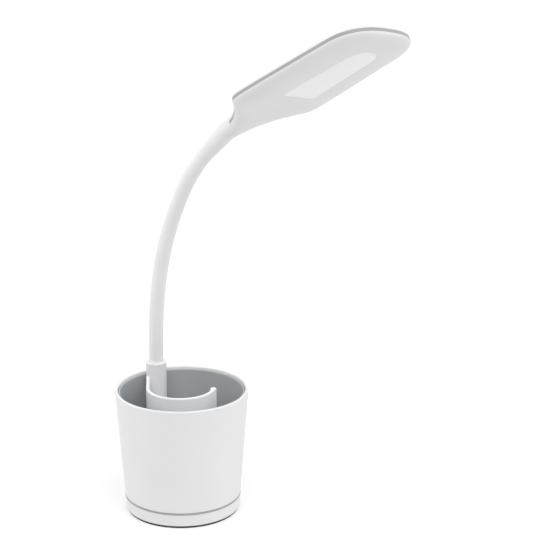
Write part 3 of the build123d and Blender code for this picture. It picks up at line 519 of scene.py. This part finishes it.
def plan_point(station, inset):
    """Distance and half width of the plan drawn in by a distance. Past the tip's start both the
    length that is left and the half width shrink by that distance."""
    x, along, wide = station
    reach = x + (HEAD_END - TIP_START - inset) * along
    taper = SIDE_SLOPE * (HEAD_END - TIP_START) * along
    return reach, np.maximum(half_width(x, inset) - taper, 0) * wide


print("half width at the tip's start:", round(float(half_width(TIP_START)), 2))

# %% [markdown]
# ## Skins of the head
#
# Underside and top are both shallow trays. Seen across, each is a flat between two quarter
# ellipses, and near the neck the two grow into one round tube. The grid runs across from edge to
# edge and along from root to tip. Its inner side is the same surface, drawn in by the wall,
# so the skins are closed shells with an even thickness, as a moulded part is.

# %% Head tray surface
EDGE_STEPS, FLAT_STEPS, LEAST_FLAT, LEAST_INNER = 15, 9, 0.6, 0.2
QUARTER = np.linspace(0, np.pi / 2, EDGE_STEPS)
ACROSS = np.concatenate([QUARTER, np.full(FLAT_STEPS, np.pi / 2), QUARTER[::-1]])[None]
FLAT_SIDE = np.linspace(1, -1, FLAT_STEPS + 2)[1:-1]
SIDE = np.concatenate([np.ones(EDGE_STEPS), FLAT_SIDE, -np.ones(EDGE_STEPS)])[None]


def tray_side(station, depth, zone, sign, wall=0.0):
    """One side of a tray. An angle a runs from 0 at the edge to 90 degrees at the flat:
    inset = edge zone (1 - cos a), height = depth sin a, both less by the wall."""
    x = station[0]
    share = (1 - np.minimum(x / ROOT_LENGTH, 1) ** 2) ** 2
    tall = depth + (ROOT_RADIUS - depth) * share - PARTING
    edge = np.minimum(zone, (half_width(x) - LEAST_FLAT) / root_stretch(x))
    inset = wall + np.maximum(edge - wall, LEAST_INNER) * (1 - np.cos(ACROSS))
    reach, half = plan_point(station, inset)
    height = sign * (PARTING + np.maximum(tall - wall, LEAST_INNER) * np.sin(ACROSS))
    return np.stack(np.broadcast_arrays(reach, half * SIDE, height), -1)


def tray_skin(name, start, depth, zone, sign, hollow_start=0.0):
    """Closed tray: the outer side, the inner side run backwards, and a strip that closes the
    neck end. Before the hollow starts the inner side lies flat on the parting plane."""
    station = stations(start)
    outer = tray_side(station, depth, zone, sign)
    inner = tray_side(station, depth, zone, sign, HEAD_WALL)
    inner[..., 2] = np.where(station[0] < hollow_start, sign * PARTING, inner[..., 2])
    loop = np.concatenate([outer, inner[:, ::-1], outer[:, :1]], 1)
    return surface(name, on_head(loop), on_head(np.stack([outer[0], inner[0]])))


# %% Collar
COLLAR_END, COLLAR_STEPS, COVER_START, SHELL_HOLLOW_START = 16.0, 12, 16.2, 12.0
COVER_DEPTH, COVER_EDGE, SHELL_DEPTH, SHELL_EDGE = 5.4, 7.0, 7.9, 20.0


def collar_grid():
    """Upper half of the round collar, closed underneath: the edge's height, the cover's own
    curve over it, and the parting plane back to the start."""
    station = [share[:COLLAR_STEPS] for share in stations(0.0)]
    station[0] = np.linspace(0, COLLAR_END, COLLAR_STEPS)[:, None]
    over = tray_side(station, COVER_DEPTH, COVER_EDGE, 1)
    under = over[:, [0, -1]] * [1, 1, -1]
    return np.concatenate([under[:, :1], over, under[:, 1:], under[:, :1]], 1)


collar_patches = [collar_grid(), *end_caps(collar_grid())]
collar = surface("head_collar", *[on_head(patch) for patch in collar_patches])

# %% Underside and top
shell = tray_skin("head_shell_skin", 0.0, SHELL_DEPTH, SHELL_EDGE, -1, SHELL_HOLLOW_START)
cover = tray_skin("head_cover_skin", COVER_START, COVER_DEPTH, COVER_EDGE, 1)

# %% [markdown]
# ## Openings
#
# The light window and the button's hole are cut with Boolean modifiers, which is the simplest
# way to get a clean edge in a curved skin. The cutters are a plain prism and a plain cylinder,
# each with a little room round the part that later fills the hole. The result is kept and the
# cutter goes.


# %% Cutting helper
def cut(piece, cutter):
    """Takes the cutter's space out of the piece's mesh and removes the cutter."""
    tool = piece.modifiers.new("cut", "BOOLEAN")
    tool.operation, tool.solver, tool.object = "DIFFERENCE", "EXACT", cutter
    bpy.context.view_layer.update()
    seen = piece.evaluated_get(bpy.context.evaluated_depsgraph_get())
    mesh = bpy.data.meshes.new_from_object(seen)
    piece.modifiers.clear()
    old, piece.data = piece.data, mesh
    bpy.data.meshes.remove(old)
    bpy.data.objects.remove(cutter)
    shade_softly(mesh)
    print(f"{piece.name}: {len(mesh.polygons)} faces after the cut")


# %% Window outline
WINDOW_START, WINDOW_END, WINDOW_TIP = 86.6, 171.7, 22.0
WINDOW_HALF, WINDOW_TIP_HALF, WINDOW_CORNER, WINDOW_POWER = 16.5, 13.85, 4.0, 2.7
STRAIGHT_END = WINDOW_END - WINDOW_TIP
WINDOW_SLOPE = (WINDOW_TIP_HALF - WINDOW_HALF) / (STRAIGHT_END - WINDOW_START)
WINDOW_CUT_LOW, WINDOW_CUT_HIGH = -9.0, -3.0


def window_outline(gain, end_steps=5, corner_steps=8, side_steps=13, tip_steps=23):
    """Right half of the window's plan, from the middle of its neck end to its tip: a rounded
    corner, a straight side that narrows, and an end where x^p + y^p = 1, with p the window's
    power. gain moves it outwards."""
    start, half, radius = WINDOW_START - gain, WINDOW_HALF + gain, WINDOW_CORNER + gain
    end = np.linspace([start, 0], [start, half - radius], end_steps + 1)[:-1]
    turn = np.linspace(0, np.pi / 2, corner_steps + 1)[:, None]
    corner = np.hstack([start + radius * (1 - np.cos(turn)), half - radius * (1 - np.sin(turn))])
    x = np.linspace(start + radius, STRAIGHT_END, side_steps + 1)[1:-1, None]
    side = np.hstack([x, half + WINDOW_SLOPE * (x - start - radius)])
    turn = np.linspace(0, np.pi / 2, tip_steps + 1)[:, None]
    along = np.sin(turn) ** (2 / WINDOW_POWER)
    wide = np.maximum(np.cos(turn), 0) ** (2 / WINDOW_POWER)
    tip = np.hstack([STRAIGHT_END + (WINDOW_TIP + gain) * along, (WINDOW_TIP_HALF + gain) * wide])
    tip[-1, 1] = 0
    return np.concatenate([end, corner, side, tip])


def squeezed(outline):
    """The outline pressed flat on to the middle line."""
    return outline * [1, 0]


def plate(outlines, levels):
    """Grid of a flat part: one row for each half outline and height, run up one side and down
    the other. The first and last are squeezed on to the middle line, which closes the faces."""
    rows = [squeezed(outlines[0]), *outlines, squeezed(outlines[-1])]
    rings = np.stack([np.concatenate([row, row[-2:0:-1] * [1, -1]]) for row in rows])
    return closed(raised(rings, np.array([levels[0], *levels, levels[-1]])[:, None]), 1)


window_prism = plate([window_outline(0)] * 2, [WINDOW_CUT_LOW, WINDOW_CUT_HIGH])
cut(shell, surface("window_cutter", on_head(window_prism)))

# %% [markdown]
# ## The opal window and the button
#
# The window is a plate of white opal plastic that lies flush in the underside, with a
# flange behind it. An extruded face would do for it, but its visible edge is rounded by 0.4 mm,
# so that a fine line shows round it. The push button on top is a turned cap with a shallow dish
# for the fingertip.

# %% Opal window
LENS_GAP, LENS_ROUND, LENS_STEPS, FLANGE_REACH, FLANGE_HEIGHT = 0.15, 0.4, 4, 2.0, 1.2
FLANGE_BOTTOM = HEAD_WALL - SHELL_DEPTH
turn = np.linspace(0, np.pi / 2, LENS_STEPS + 1)
lens_gains = [*(-LENS_GAP - LENS_ROUND * (1 - np.sin(turn))), -LENS_GAP, FLANGE_REACH, FLANGE_REACH]
lens_levels = [*(-SHELL_DEPTH + LENS_ROUND * (1 - np.cos(turn))), FLANGE_BOTTOM, FLANGE_BOTTOM]
lens_levels += [FLANGE_BOTTOM + FLANGE_HEIGHT]
lens_grid = plate([window_outline(gain) for gain in lens_gains], lens_levels)
lens = surface("diffuser_plate", on_head(lens_grid))

# %% Button and its hole
BUTTON_X, BUTTON_RADIUS, BUTTON_TOP, BUTTON_TURNS = 65.0, 6.5, 6.4, 96
HOLE_RADIUS, HOLE_LOW, HOLE_HIGH = 6.8, 1.5, 8.0
CAP_FLANGE_RADIUS, CAP_FLANGE_LOW, CAP_FLANGE_TOP = 8.1, 2.6, 3.4
DISH_EDGE, DISH_RADIUS, DISH_SIDE, DISH_DEPTH = 4.9, 3.4, 0.45, 0.5


def at_button(outline):
    """The outline turned about the button's axis."""
    return on_head(turned(outline, BUTTON_TURNS, (BUTTON_X, 0)))


cut(cover, surface("button_cutter", at_button(rectangle(0, HOLE_RADIUS, HOLE_LOW, HOLE_HIGH))))
button_outline = rounded(
    [
        (0, CAP_FLANGE_LOW),
        (CAP_FLANGE_RADIUS, CAP_FLANGE_LOW),
        (CAP_FLANGE_RADIUS, CAP_FLANGE_TOP),
        (BUTTON_RADIUS, CAP_FLANGE_TOP),
        (BUTTON_RADIUS, BUTTON_TOP),
        (DISH_EDGE, BUTTON_TOP),
        (DISH_RADIUS, BUTTON_TOP - DISH_SIDE),
        (0, BUTTON_TOP - DISH_DEPTH),
    ],
    [0, 0.2, 0.2, 0.2, 0.7, 0.9, 1.5, 0],
)
button = surface("power_button_cap", at_button(button_outline))

# %% [markdown]
# ## The grey line round the head
#
# A grey inlay fills the parting line between underside and top, from one side of the collar
# round the tip to the other. A curve object with a bevel would need that edge sampled first.
# Here a small rounded profile is carried along the plan's edge at once: each point of the
# profile is moved along the edge's own normal.

# %% Grey trim
TRIM_DEPTH, TRIM_PROUD = 2.4, 0.12


def plan_edge(start):
    """The plan's edge from the right of the root round the tip to the left, with its outward
    normals: the edge's direction turned by a right angle."""
    right = np.hstack(plan_point(stations(start), 0))
    edge = np.concatenate([right, right[-2::-1] * [1, -1]])
    way = np.gradient(edge, axis=0)
    way /= np.linalg.norm(way, axis=1, keepdims=True)
    return edge, np.stack([-way[:, 1], way[:, 0]], 1)


edge, outward = plan_edge(COVER_START)
trim_corners = rectangle(-TRIM_DEPTH, TRIM_PROUD, -PARTING, PARTING)
profile = rounded(trim_corners, [0.1, 0.35, 0.35, 0.1], steps=4)
trim_grid = raised(edge[:, None] + outward[:, None] * profile[:, :1], profile[:, 1])
trim_patches = [trim_grid, *end_caps(trim_grid)]
trim = surface("head_trim_line", *[on_head(closed(patch, 1)) for patch in trim_patches])

# %% [markdown]
# ## Power inlet
#
# At the back of the cup, low over the band, sits a round socket for the power plug. It could be
# built of cylinders, but one turned outline gives a lip with rounded edges, a bore, and a pin in
# the middle. It is turned upright and then laid down, and its hole in the cup is cut like the
# others.

# %% Inlet
INLET_HEADING, INLET_HEIGHT, INLET_TURNS = math.radians(62), 20.25, 64
INLET_RADIUS, INLET_DEPTH, INLET_ROOM, INLET_CUT_LOW, INLET_CUT_HIGH = 2.8, 12.0, 0.15, -6.0, 3.0
LIP_RADIUS, LIP_LOW, LIP_TOP = 4.6, 0.45, 1.65
BORE_RADIUS, BORE_DEPTH, PIN_RADIUS, PIN_POINT = 1.9, 9.5, 0.5, 0.2
inlet_out = np.array([math.cos(INLET_HEADING), math.sin(INLET_HEADING), 0])
inlet_side = np.array([-math.sin(INLET_HEADING), math.cos(INLET_HEADING), 0])
inlet_axes = np.array([inlet_side, [0, 0, 1], inlet_out])
inlet_mouth = inlet_out * cup_radius(INLET_HEIGHT) + [0, 0, INLET_HEIGHT]


def on_inlet(outline):
    """The outline turned about the Z axis, laid down so that the axis points out of the cup."""
    return inlet_mouth + turned(outline, INLET_TURNS) @ inlet_axes


inlet_outline = rounded(
    [
        (0, -INLET_DEPTH),
        (INLET_RADIUS, -INLET_DEPTH),
        (INLET_RADIUS, LIP_LOW),
        (LIP_RADIUS, LIP_LOW),
        (LIP_RADIUS, LIP_TOP),
        (BORE_RADIUS, LIP_TOP),
        (BORE_RADIUS, -BORE_DEPTH),
        (PIN_RADIUS, -BORE_DEPTH),
        (PIN_RADIUS, -PIN_POINT),
        (0, 0),
    ],
    [0, 0.3, 0, 0.15, 0.45, 0.35, 0.2, 0.1, 0.2, 0],
)
inlet = surface("power_inlet_socket", on_inlet(inlet_outline))
inlet_hole = rectangle(0, INLET_RADIUS + INLET_ROOM, INLET_CUT_LOW, INLET_CUT_HIGH)
cut(cup, surface("inlet_cutter", on_inlet(inlet_hole)))

# %% [markdown]
# ## What moves with what
#
# Every piece but the neck's is tied to the body that carries it; the neck pieces are left where
# they are made, tied to no body. The pieces stand for the plainer solids of the engineering model,
# which are hidden.

# %% Ride and replace
riders = {
    "base": [
        (cup, "cup_shell"), (liner, "cup_liner"), (band, "accent_band"), (tray, "base_tray"),
        (pad, "foot_pad"), (wall, "cup_divider"), (pillar, "neck_pillar"), (inlet, "power_inlet"),
    ],
    "head": [
        (shell, "head_shell"), (cover, "head_cover"), (collar, "head_shell"),
        (lens, "diffuser"), (trim, "head_trim"), (cuff, "neck_cuff"),
    ],
    "button": [(button, "power_button")],
}
for body, pairs in riders.items():
    for piece, node in pairs:
        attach(piece, body)
        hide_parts(node)
for k, piece in enumerate(neck_pieces):
    start, end = tuple(stops[k] * MM), tuple(stops[k + 1] * MM)
    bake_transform(piece)
    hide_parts(f"neck_sleeve_{k}")
print(sum(len(pairs) for pairs in riders.values()) + len(neck_pieces), "pieces replace their solids")

# %% [markdown]
# ## Mixing finishes
#
# A finish is a small network of shader nodes. A few short classes keep it readable. Value wraps
# a socket, so that adding or multiplying values writes the Math nodes. Network adds any other
# node from its type, its settings and its inputs, and Finish is the network of one material.
# Only what changes over the surface is linked; a number that is the same everywhere is set on
# the shader itself.


# %% Value and Network
class Value:
    """A number or colour that varies over a surface. Arithmetic on it adds Math nodes."""

    def __init__(self, network, socket):
        self.network, self.socket = network, socket

    def math(self, operation, other):
        made = self.network.node("ShaderNodeMath", {"operation": operation}, {0: self, 1: other})
        return made.out("Value")

    def __add__(self, other):
        return self.math("ADD", other)

    def __mul__(self, other):
        return self.math("MULTIPLY", other)

    __radd__, __rmul__ = __add__, __mul__


class Node:
    """A shader node, whose outputs are read as values by name or number."""

    def __init__(self, network, made):
        self.network, self.made = network, made

    def out(self, name):
        return Value(self.network, self.made.outputs[name])


class Network:
    """A tree of shader nodes, to which nodes are added by type, settings and inputs."""

    def __init__(self, tree):
        self.tree = tree

    def node(self, kind, settings=None, inputs=None):
        made = self.tree.nodes.new(kind)
        for key, value in (settings or {}).items():
            setattr(made, key, value)
        self.feed(made, inputs or {})
        return Node(self, made)

    def feed(self, made, inputs):
        for key, value in inputs.items():
            if isinstance(value, Value):
                self.tree.links.new(value.socket, made.inputs[key])
            else:
                made.inputs[key].default_value = value


# %% Finish
MIX_FACTOR, MIX_FIRST, MIX_SECOND, MIX_RESULT = 0, 6, 7, 2


def shade(colour, factor):
    """The colour made darker or lighter by a factor, with its alpha of one."""
    return (*(min(channel * factor, 1) for channel in colour), 1)


class Finish(Network):
    """One material with a Principled surface. Extra settings are set on the shader's sockets."""

    def __init__(self, name, colour, roughness, **settings):
        self.colour, self.roughness = colour, roughness
        self.material = bpy.data.materials.new(name)
        self.material.use_nodes = True
        self.material.diffuse_color = shade(colour, 1)
        super().__init__(self.material.node_tree)
        self.shader = self.tree.nodes["Principled BSDF"]
        named = {key.replace("_", " ").title(): value for key, value in settings.items()}
        self.feed(self.shader, {"Base Color": shade(colour, 1), "Roughness": roughness, **named})
        self.place = self.node("ShaderNodeTexCoord").out("Object")

    def noise(self, scale, detail=2.0, place=None):
        """Cloudy value about 0.5 whose lumps are 1 / scale metres across."""
        inputs = {"Vector": place or self.place, "Scale": scale, "Detail": detail}
        return self.node("ShaderNodeTexNoise", None, inputs).out("Fac")

    def relief(self, height, depth):
        """Feeds a bump of the given depth in metres to the surface's normal."""
        bump = self.node("ShaderNodeBump", None, {"Height": height, "Distance": depth})
        self.feed(self.shader, {"Normal": bump.out("Normal")})

    def vary(self, tone, drift, grain, swing):
        """Colour goes from darker to lighter by the drift with the tone, and the roughness is
        its own value + swing (grain - 1/2)."""
        low, high = shade(self.colour, 1 - drift), shade(self.colour, 1 + drift)
        inputs = {MIX_FACTOR: tone, MIX_FIRST: low, MIX_SECOND: high}
        colour = self.node("ShaderNodeMix", {"data_type": "RGBA"}, inputs).out(MIX_RESULT)
        roughness = grain * swing + (self.roughness - swing / 2)
        self.feed(self.shader, {"Base Color": colour, "Roughness": roughness})


# %% [markdown]
# ## Plastics and rubber
#
# The white parts are moulded plastic with a fine satin grain: sparks etch the mould, so the
# surface is covered in soft pits about a third of a millimetre across. The tone wanders by a
# percent or two over a few centimetres, as flow in the mould does, and the roughness wanders with
# the grain. The curved wall is the same white plastic, but its colour is painted lighter than the
# cup's, as painted light that makes up for the shade it stands in inside the cup. The soft neck is
# duller and smoother, and rubber is darker and coarser.

# %% Moulded finishes
FLOW_SCALE, SATIN_SWING, GRAIN_DETAIL = 28, 0.14, 3.0
SATIN = {"grain": 0.00035, "pit": 0.000012}
WHITE = (0.80, 0.80, 0.805)


def moulded(name, colour, roughness, grain, pit, drift=0.02, **settings):
    """Satin plastic: slow drift of tone, grain of the given size in metres in bump and gloss."""
    made = Finish(name, colour, roughness, **settings)
    fine = made.noise(1 / grain, GRAIN_DETAIL)
    made.vary(made.noise(FLOW_SCALE, 1.0), drift, fine, SATIN_SWING)
    made.relief(fine, pit)
    return made.material


white_plastic = moulded("satin_white_plastic", WHITE, 0.42, **SATIN)
# Painted light: the curved wall's white is set lighter than the cup's to make up for the shade inside the cup.
wall_plastic_painted_lighter = moulded("wall_white_painted_lighter", (0.88, 0.88, 0.885), 0.42, **SATIN)
liner_grey = moulded("liner_grey_plastic", (0.40, 0.415, 0.43), 0.45, **SATIN)
silicone = moulded("white_silicone", (0.83, 0.83, 0.83), 0.58, 0.00025, 0.000006, sheen_weight=0.15)
trim_grey = moulded("trim_grey_plastic", (0.35, 0.355, 0.36), 0.38, 0.0003, 0.000008)
rubber = moulded("foot_rubber", (0.03, 0.03, 0.032), 0.8, 0.0006, 0.00003, drift=0.15)
opal = moulded("opal_diffuser", (0.96, 0.96, 0.955), 0.5, 0.0004, 0.000008, drift=0.006)
reflector = moulded("reflector_white", (0.88, 0.88, 0.87), 0.35, 0.0005, 0.000008)
black_lead = moulded("black_lead_sheath", (0.03, 0.03, 0.03), 0.5, 0.0004, 0.00001, drift=0.1)
inlet_black = moulded("inlet_black_plastic", (0.035, 0.035, 0.037), 0.4, 0.0003, 0.00001, drift=0.1)

# %% Metals
TURNING_SCALE, METAL_SWING = 900.0, 0.2


def metal(name, colour, roughness, stretch, depth, drift=0.06):
    """Bare metal: fine turning marks as noise pressed flat along Z, in tone, gloss and bump."""
    made = Finish(name, colour, roughness, metallic=1.0)
    squeeze = made.node("ShaderNodeMapping", None, {"Vector": made.place, "Scale": (1, 1, stretch)})
    lines = made.noise(TURNING_SCALE, GRAIN_DETAIL, squeeze.out("Vector"))
    made.vary(lines, drift, lines, METAL_SWING)
    made.relief(lines, depth)
    return made.material


steel = metal("turned_steel", (0.56, 0.56, 0.55), 0.32, 12, 0.000004)
brass = metal("plain_brass", (0.70, 0.52, 0.24), 0.3, 12, 0.000004)
iron = metal("cast_weight", (0.12, 0.12, 0.125), 0.6, 1, 0.00008, drift=0.25)

# %% Circuit boards and small parts
TRACE_SCALE, TRACE_WIDTH, TRACE_SHIFT, TRACE_DEPTH = 140.0, 0.012, 0.37, 0.00003
MASK_GRAIN_SCALE, MASK_GRAIN_SHARE = 2500, 0.3


def board(name, mask, copper):
    """Circuit board: solder mask with traces under it, as a brick pattern in tone and relief."""
    made = Finish(name, mask, 0.35)
    bricks = {"Vector": made.place, "Scale": TRACE_SCALE, "Mortar Size": TRACE_WIDTH}
    bricks.update({"Color1": (*mask, 1), "Color2": (*mask, 1), "Mortar": (*copper, 1)})
    traces = made.node("ShaderNodeTexBrick", {"offset": TRACE_SHIFT}, bricks)
    made.feed(made.shader, {"Base Color": traces.out("Color")})
    mask_grain = made.noise(MASK_GRAIN_SCALE) * MASK_GRAIN_SHARE
    made.relief(traces.out("Fac") + mask_grain, TRACE_DEPTH)
    return made.material


green_board = board("green_circuit_board", (0.02, 0.16, 0.07), (0.05, 0.26, 0.12))
white_board = board("white_led_board", (0.78, 0.78, 0.76), (0.62, 0.62, 0.58))
led_face = moulded("led_phosphor", (0.86, 0.72, 0.28), 0.35, 0.0002, 0.00002, drift=0.05)
component = moulded("component_black", (0.05, 0.05, 0.055), 0.5, 0.0003, 0.00002, drift=0.2)

# %% [markdown]
# ## Which part wears what
#
# The new skins and the engineering parts that stay are listed side by side, so that nothing is
# left without a finish.

# %% Assign finishes
skins = {
    white_plastic: [cup, tray, pillar, shell, collar, cover, button],
    wall_plastic_painted_lighter: [wall],
    liner_grey: [liner],
    trim_grey: [band, trim],
    rubber: [pad],
    silicone: [cuff, *neck_pieces],
    opal: [lens],
    inlet_black: [inlet],
}
slots = {
    "white_plastic": white_plastic, "liner_plastic": liner_grey, "grey_plastic": trim_grey,
    "foot_rubber": rubber, "neck_silicone": silicone, "diffuser": opal, "inlet_black": inlet_black,
    "steel": steel, "weight_iron": iron, "reflector": reflector, "board": green_board,
    "led_board": white_board, "led": led_face, "component": component,
    "lead_black": black_lead, "brass": brass,
}


def dress(data, material):
    """Gives a mesh the one finish, in place of any that it has."""
    data.materials.clear()
    data.materials.append(material)


for material, pieces in skins.items():
    for piece in pieces:
        dress(piece.data, material)
for part in frame["record"]["subparts"]:
    dress(frame["nodes"][part["node"]].data, slots[part["material_slot"]])
print(len(skins), "finishes on skins,", len(slots), "on the engineering parts")

# %% [markdown]
# ## Floor, light and camera
#
# The photograph has a white ground with only a soft shadow under the foot. The floor therefore
# is a pale surface that adds a little light of its own, which also lights the head from below,
# and it comes out white where nothing shades it. Five very wide suns and a faint sky are weak
# enough to keep the white plastic from clipping. The strongest stand in front, and two low ones
# at the sides give the cup and neck their brighter edges. The camera stands about a metre and a
# half away and looks down by 17 degrees.


# %% Floor and world
def seen_directly(network):
    """One for rays from the camera, from a reflection or through clear plastic, else zero."""
    ray = network.node("ShaderNodeLightPath")
    return ray.out("Is Camera Ray") + ray.out("Is Glossy Ray") + ray.out("Is Transmission Ray")


def pale_floor(albedo, glow):
    """Floor that scatters a share of the light, and glows so much that it shows as plain white
    where nothing shades it: strength = glow + (1 - albedo - glow) where seen directly."""
    bpy.ops.mesh.primitive_plane_add(size=12)
    ground = bpy.context.object
    ground.name = "studio_floor"
    made = bpy.data.materials.new("studio_floor_white")
    made.use_nodes = True
    floor = Network(made.node_tree)
    floor.tree.nodes.remove(floor.tree.nodes["Principled BSDF"])
    diffuse = floor.node("ShaderNodeBsdfDiffuse", None, {"Color": (albedo, albedo, albedo, 1)})
    strength = seen_directly(floor) * (1 - albedo - glow) + glow
    own = floor.node("ShaderNodeEmission", None, {"Strength": strength})
    both = floor.node("ShaderNodeAddShader", None, {0: diffuse.out("BSDF"), 1: own.out("Emission")})
    floor.feed(floor.tree.nodes["Material Output"], {"Surface": both.out("Shader")})
    ground.data.materials.append(made)


def even_sky(fill):
    """World that lights evenly at one strength and shows as white where it is seen directly."""
    world = bpy.data.worlds.new("studio_world")
    world.use_nodes = True
    bpy.context.scene.world = world
    sky = Network(world.node_tree)
    strength = seen_directly(sky) * (1 - fill) + fill
    sky.feed(sky.tree.nodes["Background"], {"Color": (1, 1, 1, 1), "Strength": strength})


pale_floor(albedo=0.5, glow=0.32)
even_sky(fill=0.15)


# %% Lamps
def soft_sun(name, heading, height, share, spread=70):
    """Very wide sun from a heading and height in degrees. It gives the floor the named share of
    full light: strength = share pi / sin(height)."""
    data = bpy.data.lights.new(name, "SUN")
    data.angle = math.radians(spread)
    data.energy = share * math.pi / math.sin(math.radians(height))
    lamp = bpy.data.objects.new(name, data)
    lamp.rotation_euler = (math.radians(90 - height), 0, math.radians(heading + 90))
    bpy.context.scene.collection.objects.link(lamp)
    print(name, "strength", round(data.energy, 3))


soft_sun("front_left", heading=240, height=50, share=0.38)
soft_sun("above_front", heading=280, height=70, share=0.2)
soft_sun("back_right", heading=60, height=40, share=0.15)
soft_sun("low_left", heading=140, height=10, share=0.09)
soft_sun("low_right", heading=330, height=15, share=0.1)

# %% Camera
PULL_BACK, CAMERA_HEIGHT, PAN, TILT, SWING = 1500.0, 670.85, 0.0507, 0.2951, math.radians(-30)
FOCAL_PIXELS, PICTURE_PIXELS, SENSOR_WIDTH, FAR_CLIP = 1856.4, 540, 36, 30


def swung(vector):
    """Vector turned about the upright axis from the camera's own frame to the lamp's."""
    return rotated(np.array(vector), np.array([0, 0, 1]), SWING)


ahead = np.array([math.sin(PAN) * math.cos(TILT), math.cos(PAN) * math.cos(TILT), -math.sin(TILT)])
beside = np.cross(ahead, [0, 0, 1])
beside /= np.linalg.norm(beside)
above = np.cross(beside, ahead)
matrix = np.eye(4)
matrix[:3, :3] = np.stack([swung(beside), swung(above), -swung(ahead)], 1)
matrix[:3, 3] = swung([0, -PULL_BACK, CAMERA_HEIGHT]) * MM
camera_data = bpy.data.cameras.new("photo_camera")
camera_data.sensor_width = SENSOR_WIDTH
camera_data.lens = FOCAL_PIXELS * SENSOR_WIDTH / PICTURE_PIXELS
camera_data.clip_end = FAR_CLIP
camera = bpy.data.objects.new("photo_camera", camera_data)
camera.matrix_world = Matrix(matrix.tolist())
bpy.context.scene.collection.objects.link(camera)
bpy.context.scene.camera = camera
bpy.context.scene.view_settings.view_transform = "Standard"
print("camera at", np.round(matrix[:3, 3], 3))
